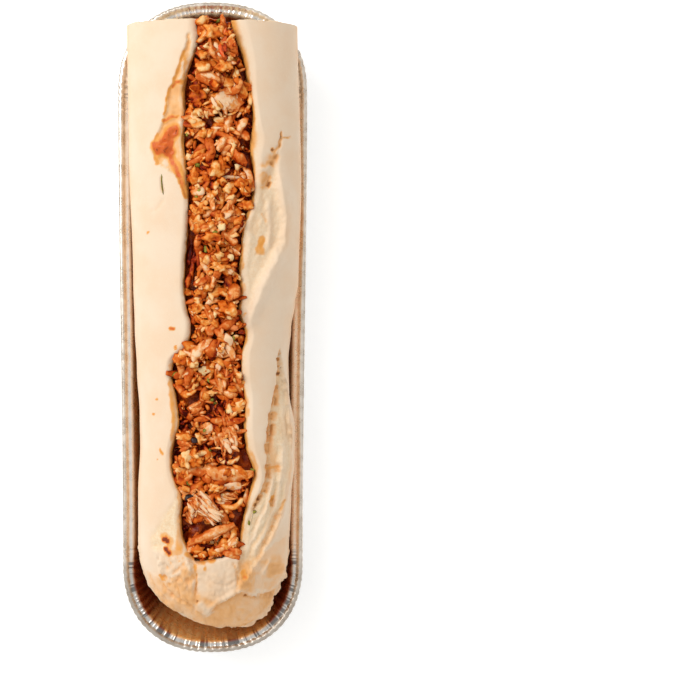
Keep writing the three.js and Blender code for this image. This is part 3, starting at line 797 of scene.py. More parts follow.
# Creases: a line, its width and depth in mm, and how brown it is, partly as painted shade such as below
# overhanging crust; below 0 they are raised, paler ridges, partly painted highlights
CREASES = table("""
194,562 196.5,582 195.5,604 | .55 .9 .5
175,579 178,590 182,603 | .5 .6 .45
160,582 172,596 190,606 206,620 | .5 .7 .4
148,575 156,590 168,604 | .5 .5 .3
204,572 214,584 228,586 238,578 | .6 .5 .15
222,560 226,574 222,590 | .6 .35 .1
233,560 238,578 236,598 | .6 .8 .35
207,614 215,604 234,593.5 246,590 | .9 -.9 -.5
208,617 218,606 236,596 246,593 | .7 .8 .45
246,594 256,597 262,594 272,593 280,589 | .8 -.9 -.6
244,597 256,600 264,597 274,596 | .5 .7 .5
198,604 206,612 210,618 | 2.2 -.5 -.8
188,596 184,586 182,576 | .5 .5 .4
170,598 176,590 172,578 | .5 .5 .35
155,552 163,556 160,566 168,572 | .9 -.8 -.8
172,556 176,566 186,560 192,572 | 1 -.8 -.8
166,560 172,576 182,570 | .8 -.7 -.8
262,577 266,568 272,560 | .7 -.7 -.5
281,131 281,138 292,137 | .4 .5 .6
281,132 280,145 273,152 | .6 .9 .7
162,176 163.5,194 | .6 .5 .3
277.3,386 277.3,397 276,408 | 1.2 .9 .62
274.5,412 272.5,421 | 1.8 .8 .56
273,425 271.5,437 | 1.8 .9 .62
270.5,430 269.5,444 | 1.5 .7 .5
269.5,444 268.5,456 | 1.5 .8 .5
269,465 268.5,480 | 1.5 .9 .62
268,482 265.5,494 | 1.4 .8 .55
278.6,466 278.2,474 | 1.5 .7 .56
275,499 272.5,508 | 1.1 .7 .64
263,493 257,501 251,512 | 1.1 .9 .55
280,348 279,362 279,376 | .4 .4 .35
279,512 268,540 256,562 | 1.1 1.1 .3
268,500 257,525 247,550 | .9 .9 .25
274,476 268,502 256,530 244,558 | 1 -.9 -.7
283,440 283,470 278,500 266,530 252,558 | 1.1 -.9 -.6
283,400 286,430 287,460 284,490 | 1.6 -.8 -.5
277,153 274,159 270,166 | 1.8 .9 .6
273,155 268,162 262,169 | 2 .3 .38
264,174 267,180 271,176 | 1.2 .6 .5
269,181 267,187 | 1.2 1 .95
262,172 264,180 263,190 | 2.2 .4 .42
257,169 266,170.5 273,167 | .6 -.5 -.6
269,200 270,226 269,250 | 1.3 -.7 -.8
284,172 286,205 284,240 270,276 257,304 246,330 | 3 -1.1 -.7
250,204 244,228 241,262 242,300 243,330 | 2.4 -.6 -.8
181,64 185,74 181,84 | 1.3 -.6 -.9
182,122 179,130 181,136 | 1.4 -.6 -.9
163,161 169,167 | 1.4 -.5 -.9
150,212 158,209 165,200 | .8 .25 .1
196,604 188,590 186,574 | .6 .35 .3
286,500 281,512 276,526 | .7 .5 .5
""")
# Brown pits: place and radius in mm; the first lies below crust that overhangs the first scar and is darkened
# partly as painted shade
PITS = table("""
272,149.5 | .8; 245,597 | .9; 197,602 | .7; 279.5,354 | .6; 279,360 | .6; 279.5,367 | .6; 278.5,374 | .7
258,500 | .8; 255,505 | .8
""")

# %% Sauce on the crust
# Sauce: a line or a single place, its half width in mm, how strong, and how thick it lies in mm
SAUCE = table("""
174,132 168,140 160,150 | 3.6 1 1.3
157,147 170,153 | 3 1 .9
172,133 169,150 | 2.4 1 .5
178,118 170,119 164,123 | .9 .8 .1
186,84 177,84 174,88 | 1.1 .9 .1
185,55 178,74 169,95 165,116 | .8 .56 0
186,60 184.5,80 184,118 | .8 .62 0
158,136 154,148 157,164 | 1 .6 0
171,158 177,172 187,196 | 1.6 .9 .2
174,157 180,166 185,178 | 1 .6 0
184,140 182,158 | .8 .7 0
243,392 246,402 247,414 | 1.2 .6 0
249,451 256,468 253,484 | 1.3 .6 0
254,120 253.5,130 252,142 | .8 .5 0
245,64 249.5,78 251,90 | .7 .5 0
186,100 187,120 185,140 | .8 .55 0
148,232 148.5,232 | .7 .6 .05
171,328.5 174,329 | .8 .95 .15
175,347 175.3,348 | .8 .9 .15
157,399 157.3,399 | .7 .7 .1
153,415 153.3,415 | .6 .7 .1
171,366 171,385 173,400 174,420 173,440 | 1.5 .55 0
174,475 179,492 180,512 | .9 .5 0
160,450 162,454 | .7 .65 .05
157,459 157.2,459 | .5 .6 .05
181,512 181,530 179,548 | 2 .5 .1
164,537 170,542 168,553 | 2 .42 0
172,553 180,552 | 1.6 .4 0
164,539.5 167,542 | 1.1 1.35 .3
166.5,549 169,553 | 1.2 1.35 .3
188,554 198,560 212,559 | 1.7 .75 .1
194,563 195,570 | .9 .5 0
160,577 162,581 | .8 .6 0
205,567 205,569 | .8 .55 0
243,572 245,578 | 1.2 .75 .05
270,503 274,498 | 1 .55 0
262,238 260,247 | 1.6 .55 0
258,250 262,251 | 1.9 .5 0
262,214 266,222 | .9 .3 0
242,244 241,256 242,268 | 1.3 .65 0
243,284 244,289 | 1.2 .5 0
245,313 244,316 | .7 .55 0
163,578 164,581 | .7 .5 0
268,470 279,468 | .8 .4 0
""")


# %% What the crust shows at each place
def show_on_crust(plan):
    """Relief in mm, and shares of crumb, of browning with painted shade and highlight, and of sauce, at plan
    points of the crust.
    """
    flat = points_at(plan[..., 0], plan[..., 1])
    ragged = [waves(flat, 2.2, seed) + 0.5 * waves(flat, 0.9, seed + 2) for seed in (61, 62)]
    place = plan + 0.42 * np.stack(ragged, axis=-1)
    relief = 0.35 * waves(flat, 27, 65) + 0.13 * waves(flat, 8, 66)
    crumb, bake_and_painted_light, sauce = np.zeros_like(relief), np.zeros_like(relief), np.zeros_like(relief)
    for scar in SCARS:
        depth = depth_in(place, scar["outline"])
        within = smooth(depth / scar["step"])
        far, way_down = to_line(place, scar["deep"])
        out, way_round = to_line(place, scar["ear"])
        shallow, deep = scar["depth"]
        broad = waves(points_at(out / 2.3, way_round * 9), 1, 67)
        ridges = scar["ridged"] * (broad + 0.3 * waves(points_at(out / 0.9, way_round * 26), 1, 68))
        relief = relief - within * (shallow + (deep - shallow) * np.exp(-np.hypot(far, 1.1) / scar["reach"]))
        relief = relief + within * (ridges + 0.15 * waves(flat, 1.3, 69))
        fade = smooth(way_round * 8) * smooth((1 - way_round) * 8)
        relief = relief + 1.1 * fade * np.exp(-((out / scar["ear_width"]) ** 2))
        crumb = np.maximum(crumb, scar["raw"] * smooth((depth + 0.2) / scar["step"]))
        bake_and_painted_light = np.maximum(bake_and_painted_light, 0.3 * fade * np.exp(-((out / 1.3) ** 2)) * (0.6 + 0.4 * waves(flat, 5, 70)))
        bake_and_painted_light = np.maximum(bake_and_painted_light, 0.3 * scar["ridged"] * within * smooth((-broad - 0.1) / 0.6))
        # Painted shade, partly browning: the scar's deepest line is darkened
        browning_and_painted_light = scar["browning_and_painted_light"] * (0.7 + 0.5 * waves(flat, 3.2, 71))
        bake_and_painted_light = np.maximum(bake_and_painted_light, within * browning_and_painted_light * np.exp(-((far / 1.5) ** 2)))
    torn = depth_in(place, TORN_LIP)
    slope = smooth(torn / 0.9) * (0.9 + 0.24 * np.clip(torn, 0, 12))
    relief = relief - slope + smooth(torn / 1.5) * (0.3 * waves(flat, 2.4, 72) + 0.15 * waves(flat, 1.1, 73))
    crumb = np.maximum(crumb, smooth((torn + 0.3) / 0.9))
    toned = np.clip(0.33 + 0.18 * waves(flat, 4, 90) + 0.1 * waves(flat, 1.4, 72), 0, 1)
    bake_and_painted_light = np.maximum(bake_and_painted_light, smooth(torn / 1.2) * toned)
    flaky = smooth(depth_in(place, FLAKY_PATCH) / 1.8)
    flakes = waves(flat, 2.1, 98) + 0.6 * waves(flat, 0.9, 99)
    relief = relief + flaky * (0.9 * flakes + 0.2)
    bake_and_painted_light = np.maximum(bake_and_painted_light, 0.45 * flaky * smooth(-0.1 - 1.2 * flakes))
    rough = smooth(depth_in(place, ROUGH_PATCH) / 2.5)
    relief = relief + rough * (0.35 * waves(flat, 2.6, 74) + 0.2 * waves(flat, 1.2, 75) - 0.35)
    crumb = np.maximum(crumb, 0.8 * rough)
    ends = smooth((-88 - plan[..., 1] + 9 * waves(flat, 13, 87)) / 28)
    shelves = waves(flat, 6.5, 95) * 2.4 + 0.25 * waves(flat, 1.6, 97)
    shelves = (np.floor(shelves) + smooth((shelves - np.floor(shelves)) * 9)) / 2.4
    relief = relief + ends * (0.8 * shelves + 0.22 * waves(flat, 1.0, 96))
    # Plates: the first is darkened partly as painted shade
    for outline, lift, browning_and_painted_light in PLATES:
        on_plate = depth_in(place, outline)
        plate = smooth((on_plate + 0.25) / 0.5)
        relief = relief + lift * plate + 0.3 * abs(lift) * np.exp(-((on_plate / 0.5) ** 2)) * (lift > 0)
        clouded = 1 + 0.35 * waves(flat, 7, 100) + 0.2 * waves(flat, 1.8, 99)
        bake_and_painted_light = mix(bake_and_painted_light, browning_and_painted_light * clouded, 0.85 * plate)
    patch = smooth((depth_in(place, END_PATCH) + 0.6) / 2.6)
    relief = relief + 0.5 * patch + 0.08 * patch * waves(flat, 1.6, 76)
    tan = ends * (1 - 0.62 * patch) * mix(0.78, 1.12, smooth(plan[..., 0] / 30 + 0.4))
    bake_and_painted_light = np.maximum(bake_and_painted_light, tan * np.clip(0.27 + 0.16 * shelves + 0.1 * waves(flat, 1.6, 89), 0, 1))
    # Creases: their brown is partly painted shade, and the paler raised ridges are partly painted highlights
    for line, width, depth, browning_and_painted_light in CREASES:
        gap, way_down = to_line(place, line)
        mark = np.exp(-((gap / width) ** 2)) * smooth(np.minimum(way_down, 1 - way_down) * 6 + 0.3)
        relief = relief - depth * mark
        if browning_and_painted_light < 0:
            crumb, bake_and_painted_light = crumb * (1 + browning_and_painted_light * mark), bake_and_painted_light * (1 + browning_and_painted_light * mark)
        bake_and_painted_light = np.maximum(bake_and_painted_light, browning_and_painted_light * mark * (0.8 + 0.4 * waves(flat, 1.1, 94)))
    # Pits: darkened partly as painted shade
    for (spot,), radius in PITS:
        mark = np.exp(-((np.linalg.norm(place - from_picture(spot, CRUST_HEIGHT), axis=-1) / radius) ** 2))
        relief = relief - 0.8 * mark
        bake_and_painted_light = np.maximum(bake_and_painted_light, 0.9 * smooth(mark * 1.3))
    blotched = 0.84 + 0.14 * waves(flat, 1.7, 77) + 0.08 * waves(flat, 0.7, 78)
    for line, width, strength, thick in SAUCE:
        gap, way_down = to_line(place, line)
        mark = smooth((1.35 - gap / width) / 0.95)
        relief = relief + thick * mark * (0.7 + 0.5 * waves(flat, 1.6, 79))
        sauce = np.maximum(sauce, np.clip(strength * mark * blotched, 0, 1))
    return relief, crumb, bake_and_painted_light, sauce


# %% Relief, crumb and sauce on the roll
# The relief pushes points sideways too where the crust slopes, so each looks up what lies where it ends
outward = grid_normals(roll)
plan = roll[..., :2]
relief = show_on_crust(plan)[0]
for _ in range(2):
    shift = np.clip(relief, -4, 2) * on_crust * smooth((outward[..., 2] - 0.15) / 0.2)
    plan = roll[..., :2] + shift[..., None] * outward[..., :2]
    relief, crumb, bake_and_painted_light, sauce = show_on_crust(plan)
gap_left = spline(MOUTH[-1], plan[..., 1]) + plan[..., 0]
gap_right = spline(MOUTH[1], plan[..., 1]) - plan[..., 0]
from_mouth = np.maximum(-gap_left, -gap_right)
from_mouth = np.maximum(from_mouth, slit_start(plan[..., 0]) + 1.2 - plan[..., 1])
# Hollows fade towards the mouth, where the lip would fold over itself
relief = np.where(relief < 0, relief * mix(0.45, 1, smooth(from_mouth / 6)), relief)
smear = waves(roll, 9, 81) + 0.6 * waves(roll, 3, 82)
smeared = smooth((0.6 * smear + 0.3 + 0.45 * (roll[..., 0] < 0) - from_mouth) / 0.8)
smeared = smeared * smooth(on_crust + in_slit)
sauce = np.maximum(sauce, (0.5 + 0.12 * smear) * smeared)
lip_height = by_side(plan[..., 0], lambda side: crust_height(spline(MOUTH[side], roll_y), roll_y, side))
below_lip = lip_height - roll[..., 2]
soaked = 0.45 * smooth((below_lip - 1.2 + 0.8 * smear) / 1.2) + 0.3 * smooth((below_lip - 6) / 5)
sauce = np.maximum(sauce * on_crust, in_slit * soaked)
crumb = np.maximum(crumb * on_crust, in_slit)
belly = (1 - on_crust) * (1 - in_slit) * smooth(0.75 + 0.5 * waves(roll, 22, 88) + 0.25 * waves(roll, 7, 89))
bake_and_painted_light = np.maximum(bake_and_painted_light * on_crust, 0.2 * belly)

# Below the widest line at the round end the crust is rough and scalloped
scalloped = smooth((-84 - roll_y) / 16) * (1 - smooth(on_crust / 0.9))
ragged = scalloped * mix(0.7, mix(0.8, 1.9, smooth((-100 - roll_y) / 10)), smooth(roll[..., 0] / 20))
relief = relief * on_crust + ragged * (0.9 * waves(roll, 3.4, 84) + 0.6 * waves(roll, 1.6, 85))
relief = relief + in_slit * 0.3 * waves(roll, 1.8, 86) * (roll_y < CUT_FACE - 1)
roll = roll + relief[..., None] * outward
roll[..., 2] = np.maximum(roll[..., 2], 0.9)

# %% [markdown]
# ### The cut face
#
# The cut end shows crumb. Its ring of points is drawn in, step by step, towards the line midway between
# the crust and the slit, and the points are pushed back unevenly, as the knife leaves the crumb. A flat
# cap would do for the picture, which shows the end only from above, but other views see it.

# %% Cap on the cut end
CAP_RINGS = 15
last = roll[-1]
half_count = UNDER_POINTS + UPPER_POINTS
inner = np.arange(half_count + 1, roll_columns - half_count)
outer = np.arange(half_count, -half_count - 1, -1) % roll_columns


def share_along(points):
    """How far along a chain each of its points lies, 0 to 1."""
    gone = np.concatenate([[0], np.cumsum(np.linalg.norm(np.diff(points, axis=0), axis=1))])
    return gone / gone[-1]


def points_between(wanted, share, points):
    return np.column_stack([np.interp(wanted, share, points[:, axis]) for axis in range(3)])


chains = [(chain, share_along(last[chain])) for chain in (inner, outer)]
even = np.linspace(0, 1, 200)
midway = sum(points_between(even, share, last[chain]) for chain, share in chains) / 2
aims = np.zeros_like(last)
for chain, share in chains:
    aims[chain] = points_between(share, even, midway)
cap_rows = []
for share in np.linspace(0, 0.985, CAP_RINGS + 1)[1:]:
    ring = mix(last, aims, share)
    pores = waves(ring, 1.6, 91) + 0.7 * waves(ring, 3.7, 92) + 0.5 * waves(ring, 0.9, 93)
    ring[:, 1] = CUT_FACE + 0.25 + 0.5 * np.minimum(0.5, pores)
    cap_rows.append(ring)
roll = np.concatenate([roll, np.array(cap_rows)])
added = ((0, len(cap_rows)), (0, 0))
crumb, bake_and_painted_light, sauce = np.pad(crumb, added, constant_values=1), np.pad(bake_and_painted_light, added), np.pad(sauce, added)

# %% [markdown]
# ### The bread's finish
#
# The crust is pale and dry with faint tan clouds. Crumb is yellower and rough. Browned places run from
# tan to dark brown, and some of that brown is painted shade, in creases, pits and below overhanging
# crust, while paler raised ridges are partly painted highlights. Sauce stains run from orange at their
# thin edges to a deep red-brown where it lies thick. Each is one blend over the last, led by the numbers
# on the points.

# %% Bread finish
bread = Finish("bread_crust", Roughness=0.62)
bread.shader.inputs["Specular IOR Level"].default_value = 0.3
clouds = bread.noise(16, detail=3)
flour = bread.noise(1.0, detail=5, roughness=0.7)
colour = bread.blend(bread.between(clouds, 0.32, 0.68), (0.87, 0.70, 0.53), (0.86, 0.65, 0.46))
colour = bread.blend(bread.between(flour, 0.5, 0.75, 0, 0.35), colour, (0.88, 0.75, 0.59))
crumbs = bread.blend(bread.between(flour, 0.35, 0.65), (0.84, 0.60, 0.35), (0.90, 0.74, 0.52))
colour = bread.blend(bread.mark("crumb"), colour, crumbs)
baked_with_painted_light, stained = bread.mark("bake_and_painted_light"), bread.mark("sauce")
for mark, low, high, tone in [
    (baked_with_painted_light, 0.0, 0.38, (0.87, 0.47, 0.19)), (baked_with_painted_light, 0.3, 0.65, (0.56, 0.24, 0.07)),
    (baked_with_painted_light, 0.6, 1.0, (0.16, 0.05, 0.015)), (stained, 0.05, 0.5, (0.82, 0.36, 0.07)),
    (stained, 0.45, 0.85, (0.68, 0.13, 0.02)), (stained, 0.92, 1.0, (0.22, 0.035, 0.006)),
]:
    colour = bread.blend(bread.between(mark, low, high), colour, tone)
bread.send(colour, "Base Color")
bread.send(bread.between(stained, 0.2, 0.8, 0.62, 0.34), "Roughness")
bread.bump((flour, 0.10), (bread.noise(0.45, detail=2), 0.05))
roll_faces = tube_faces(len(roll), roll_columns)
marks = {"crumb": crumb.ravel(), "bake_and_painted_light": bake_and_painted_light.ravel(), "sauce": sauce.ravel()}
crust = make_piece("bread_crust", roll.reshape(-1, 3), roll_faces, bread.material, marks)
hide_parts("bread_roll")

# %% [markdown]
# ## The filling
#
# The filling is pulled chicken with crisp onion and nuts in a thick sauce. A physics drop of a thousand
# bits would pack them best but takes minutes and differs between versions, so the heap keeps a map of
# its own height instead: each bit is lowered until it rests on what's already there, and the map is
# raised by it. The pieces that stand out in the picture are laid one by one in this way near the end, and
# the places where the picture shows dark gaps are kept free.

# %% The heap's shape
FILL_START, FILL_END = -100.2, 129.7
BELOW_LIP, BELOW_LIP_RIGHT, DOME = 2.7, 0.7, 1.8
LUMPS = [(0.31, 0.2, 0.0, 1.1), (0.17, -0.35, 2.0, 1.3)]


def mouth_at(x, y):
    """The slit's half width at y on the side that x lies on, and the crust's height beside it."""
    mouth = by_side(x, lambda side: spline(MOUTH[side], y))
    return mouth, by_side(x, lambda side: crust_height(mouth, y, side))


def heap_top(x, y):
    mouth, lip = mouth_at(x, y)
    across = np.clip(np.abs(x) / mouth, 0, 1)
    lumps = sum(height * np.sin(y * per_y + x * per_x + phase) for per_y, per_x, phase, height in LUMPS)
    low_end = 2.2 * smooth((-76 - y) / 16)
    taper = smooth((y - FILL_START + 4) / 10)
    below = BELOW_LIP + BELOW_LIP_RIGHT * smooth(x / 8 + 0.5)
    return lip - below + DOME * (1 - across**2) * taper + lumps * (1 - across**4) - low_end


# %% The core of sauce
CORE_DEPTH, CORE_RINGS, WALL_RISE, CORE_WIDTH = 3.6, 260, 7, 34
core_y = np.linspace(FILL_START, FILL_END, CORE_RINGS)[:, None]
core_sides = []
for side in (-1, 1):
    under, widest, crown = levels(core_y)
    mouth = spline(MOUTH[side], core_y) - 0.3
    top = crust_height(mouth, core_y, side) - LIP_DROP
    floor_height = under + SLIT_FLOOR + 0.2
    down = np.linspace(0, 1, WALL_RISE)[None, 1:]
    wall = mix(mouth, mouth * FLOOR_SHARE, down**WALL_CURVE), mix(top - 2.5, floor_height + 1.5, down)
    core_sides.append((side * wall[0], wall[1]))
span = np.linspace(-1, 1, CORE_WIDTH)[None, :]
core_x = by_side(span, lambda side: spline(MOUTH[side], core_y)) * span * 0.985
core_top = heap_top(core_x, core_y) - CORE_DEPTH - 1.2 * np.abs(span) ** 3
core_top = core_top + 0.9 * waves(points_at(core_x, core_y), 3.1, 101)
(left_x, left_z), (right_x, right_z) = core_sides
ring_x, ring_z = beside(left_x[:, ::-1], core_x, right_x), beside(left_z[:, ::-1], core_top, right_z)
core = points_at(ring_x, core_y, ring_z)[:, ::-1]
core_faces = tube_faces(*core.shape[:2])

# %% The height map and its drops
GRID_STEP = 0.45
GRID_X, GRID_Y = np.arange(-26, 26, GRID_STEP), np.arange(-106, 134, GRID_STEP)
map_x, map_y = np.meshgrid(GRID_X, GRID_Y)
map_mouth, map_lip = mouth_at(map_x, map_y)
beyond = np.abs(map_x) - map_mouth
map_top = heap_top(map_x, map_y)
map_crust = by_side(map_x, lambda side: crust_height(map_x, map_y, side))
map_edge = map_lip - LIP_DROP + np.clip(1.3 * beyond, 0, LIP_DROP)
ground = np.where(beyond < 0, map_top - CORE_DEPTH, np.minimum(map_edge, map_crust))


def cells(plan):
    column = np.clip(((plan[:, 0] - GRID_X[0]) / GRID_STEP + 0.5).astype(int), 0, len(GRID_X) - 1)
    row = np.clip(((plan[:, 1] - GRID_Y[0]) / GRID_STEP + 0.5).astype(int), 0, len(GRID_Y) - 1)
    return row, column


def drop(points, x, y, sunk=12):
    """Lowers a bit onto the heap at x, y, until sunk percent of its points have gone into it."""
    points = points + [x, y, 0]
    where = cells(points)
    points[:, 2] -= np.percentile(points[:, 2] - ground[where], sunk)
    np.maximum.at(ground, where, points[:, 2])
    return points


# %% [markdown]
# ### Shapes of the bits
#
# Five shapes are enough. A strand is a bent, tapering rod with grooves along its fibres: a shred of
# chicken or a curl of onion. A torn sheet is a row of fibres that end unevenly, for a chunk of chicken. A
# crisp is a knobbly ball pulled long and a flake a thin bent one, both for fried onion. A chip is a ball
# cut by a few planes, for chopped nut. Each bit gets its own waves, so no two are the same, and its
# hollows are marked darker, partly as sauce that stays there and partly as painted shade.

# %% Balls and dice
def unit_ball(level):
    shape = bmesh.new()
    bmesh.ops.create_icosphere(shape, subdivisions=level, radius=1)
    points = np.array([vertex.co[:] for vertex in shape.verts])
    faces = [tuple(vertex.index for vertex in face.verts) for face in shape.faces]
    shape.free()
    return points, faces


BALLS = {level: unit_ball(level) for level in (1, 2, 3, 4)}
dice = np.random.default_rng(20)


def turned_by(points, spin, tip=0.0, roll_by=0.0):
    """Points turned round their length, tipped up and turned in plan, in radians."""
    for angle, (first, second) in ((roll_by, (1, 2)), (tip, (0, 2)), (spin, (0, 1))):
        cos, sin = math.cos(angle), math.sin(angle)
        a, b = points[:, first].copy(), points[:, second].copy()
        points[:, first], points[:, second] = a * cos - b * sin, a * sin + b * cos
    return points


# %% Strands and torn sheets
def strand(length, width, curl=None, flat=0.6, sides=9, fibres=0.16):
    """A rod of fibres; returns its points, faces and how far each point lies out of a hollow."""
    rings = max(8, int(length / 0.7))
    curl = dice.uniform(-0.9, 0.9) if curl is None else curl
    t = np.linspace(0, 1, rings)[:, None]
    around = (np.arange(sides) / sides * 2 * np.pi)[None, :]
    seed = int(dice.integers(1e6))
    heading = curl * (t - 0.5)
    sweep = max(abs(curl), 0.01)
    path_x = np.sin(heading) * length / sweep
    path_y = (1 - np.cos(heading)) * length / sweep * np.sign(curl or 1)
    cross = points_at(np.cos(around), np.sin(around), t * length / 7)
    grooves = waves(cross * [1.3, 1.3, 1], 1, seed) + 0.7 * waves(cross * [3.2, 3.2, 1.6], 1, seed + 1)
    grooves = grooves + 0.9 * waves(cross * [1.5, 1.5, 5.5], 1, seed + 4)
    lumpy = waves(points_at(t * length / 3), 1, seed + 2)
    thick = np.sin(np.pi * mix(0.07, 0.93, t)) ** 0.5 * (1 + 0.22 * lumpy) * (1 + fibres * grooves)
    side_way, up_way = thick * np.cos(around) * width / 2, thick * np.sin(around) * width / 2 * flat
    arch = 0.3 * width * waves(points_at(t * length / 5, 3), 1, seed + 3)
    x = path_x - side_way * np.sin(heading)
    y = path_y + side_way * np.cos(heading)
    points = points_at(x, y, up_way + arch).reshape(-1, 3)
    points[:, 0] -= points[:, 0].mean()
    points[:, 1] -= points[:, 1].mean()
    # Painted shade, partly sauce: the grooves between fibres are marked darker
    return points, tube_faces(rings, sides, True), (grooves + 0.5 * lumpy).ravel() * 0.5


def torn(length, width, curl=0.0):
    """A sheet of fibres side by side, thick in the middle and ragged at both ends."""
    columns, rings = max(12, int(width / 0.27)), max(12, int(length / 0.5))
    seed = int(dice.integers(1e6))
    out = np.linspace(-1, 1, columns)
    across = np.concatenate([out, out[::-1]])[None, :]
    upper = np.concatenate([np.ones(columns), -0.4 * np.ones(columns)])[None, :]
    t = np.linspace(0, 1, rings)[:, None]
    fibre = points_at(across * width / 2)
    starts, ends = 0.12 + 0.24 * waves(fibre, 0.7, seed), 0.88 + 0.24 * waves(fibre, 0.7, seed + 1)
    way_down = mix(starts, ends, t)
    x = (way_down - 0.5) * length
    place = points_at(x / 4.5, across * width / 2)
    grooves = 0.9 * waves(place * [1, 1.5, 1], 1, seed + 2) + 0.7 * waves(place * [2, 3.2, 1], 1, seed + 3)
    lumps = waves(place * [1.6, 0.45, 1], 1, seed + 4)
    full = np.sqrt(np.maximum(0, 1 - across**2)) ** 0.7 * np.sin(np.pi * mix(0.02, 0.98, t)) ** 0.4
    z = upper * full * (0.9 + 0.12 * width) * (1 + 0.5 * grooves * (upper > 0)) * 0.62 + 0.7 * lumps * full
    waist = 0.78 + 0.22 * np.sin(np.pi * t) + 0.1 * waves(points_at(x, 4), 3, seed + 5)
    y = across * waist * width / 2 + curl * x * x / length
    # Painted shade, partly sauce: raised fibres are tinted lighter and grooves darker
    sauced = (0.8 * grooves + 0.5 * lumps).ravel() * 0.6
    return points_at(x, y, z).reshape(-1, 3), tube_faces(rings, 2 * columns, True), sauced


# %% Flakes, crisps and chips
def flake(length, width, level=2):
    """A thin bent sheet with a lobed outline; it is marked darker where its folds dip, partly as sauce and
    partly as painted shade.
    """
    points, faces = BALLS[level]
    seed = int(dice.integers(1e6))
    round_it = points * [1, 1, 0]
    spread = np.linalg.norm(round_it, axis=1)
    rim = round_it / np.maximum(spread, 0.2)[:, None] + 7
    lobes = 1 + (0.36 * waves(rim, 0.8, seed) + 0.3 * waves(rim, 0.35, seed + 3)) * smooth(spread * 2)
    x, y = points[:, 0] * lobes * length / 2, points[:, 1] * lobes * width / 2
    bent = points_at(x, y) + 9
    folded = waves(bent, 1.7, seed + 1)
    z = points[:, 2] * dice.uniform(0.5, 0.9) + 0.9 * folded + 0.3 * waves(bent, 0.8, seed + 2)
    z = z + dice.uniform(-0.3, 0.5) * y * y / width * 2 + dice.uniform(-0.3, 0.3) * x * x / length * 2
    return points_at(x, y, z), faces, 0.8 * folded


def crisp(length, width, level=2, rough=1.0):
    """A knobbly ball pulled long."""
    points, faces = BALLS[level]
    seed = int(dice.integers(1e6))
    stretched = points * [1.3, 1, 1] + 5
    lobes, knobs = 0.5 * waves(stretched, 0.95, seed), 0.4 * rough * waves(stretched, 0.46, seed + 1)
    cracks = (1 - np.abs(waves(stretched, 0.7, seed + 2))) ** 4
    swelling = 1.1 + lobes + knobs - 0.34 * rough * cracks
    thick = dice.uniform(0.5, 0.8)
    shaped = points * swelling[:, None] * [length / 2, width / 2, width * thick / 2]
    shaped[:, 1] += dice.uniform(-0.35, 0.35) * shaped[:, 0] ** 2 / length
    # Painted shade, partly sauce: lobes and knobs are tinted lighter and cracks darker
    return shaped, faces, 1.8 * lobes + 0.8 * knobs - 0.4 * cracks + 0.1


def rough_crisp(length, width, level=2):
    return crisp(length, width, level, 1.3)


def chip(length, width, level=2):
    """A ball cut by a few planes."""
    points, faces = BALLS[level]
    shaped = points.copy()
    for _ in range(7):
        way = dice.normal(size=3)
        way /= np.linalg.norm(way)
        over = np.maximum(0, shaped @ way - dice.uniform(0.5, 0.8))
        shaped = shaped - over[:, None] * way
    seed = int(dice.integers(1e6))
    shaped = shaped * (1 + 0.07 * waves(points + 5, 0.5, seed))[:, None]
    return shaped * [length / 1.6, width / 1.6, width * 0.75 / 1.6], faces, np.zeros(len(points))


def small_chip(length, width):
    return chip(length, width, 1)


# %% Laying bits
def tumbled(points, spin=None, tip=0.15):
    """A bit's points turned at random, or by spin in plan."""
    spin = dice.uniform(0, np.pi * 2) if spin is None else spin
    return turned_by(points.copy(), spin, dice.normal(0, tip), dice.uniform(-0.5, 0.5))


class Bits:
    """Bits of one kind, joined into one mesh when they are all laid."""

    # Painted shade, partly sauce: how much darker a bit is that lies deep in the heap
    deep_sauce_and_shade = 0.65  # how much darker a bit is that lies deep

    def __init__(self, name, finish):
        self.name, self.finish = name, finish
        self.points, self.faces, self.tints, self.count = [], [], [], 0

    def lay(self, shape, x, y, tint, spin=None, tip=0.15, sunk=12):
        points, faces, hollow = shape
        points = drop(tumbled(points, spin, tip), x, y, sunk)
        # Painted light, partly sauce: a bit is lighter at its top, and darker in its hollows and where it
        # lies deep
        under = np.clip((heap_top(points[:, 0], points[:, 1]) + 0.3 - points[:, 2]) / CORE_DEPTH, 0, 1)
        height = points[:, 2] - points[:, 2].min()
        upper = height / height.max() - 0.6
        thick = 0.13 * waves(points * [1, 1, 0], 8, 101)
        self.join(points, faces, tint + 0.03 + 0.26 * hollow + 0.5 * upper - self.deep_sauce_and_shade * under + thick)

    def join(self, points, faces, tints):
        self.faces += [tuple(corner + self.count for corner in face) for face in faces]
        self.points.append(points)
        self.tints.append(tints)
        self.count += len(points)

    def make(self):
        marks = {"tint": np.concatenate(self.tints)}
        return make_piece(self.name, np.concatenate(self.points), self.faces, self.finish, marks)


# %% [markdown]
# ### The bits' finishes
#
# One ramp of colours runs from the dark red-brown of pooled sauce over orange and gold to cream. Where a
# bit lies on it comes from its kind and from painted light, partly sauce: it is lighter on top, and darker
# on its sides, in its hollows and the deeper it lies in the heap; fine noise breaks it up.
# Chicken is a little pinker than onion, and herbs, pepper and toasted bits have finishes of their own.

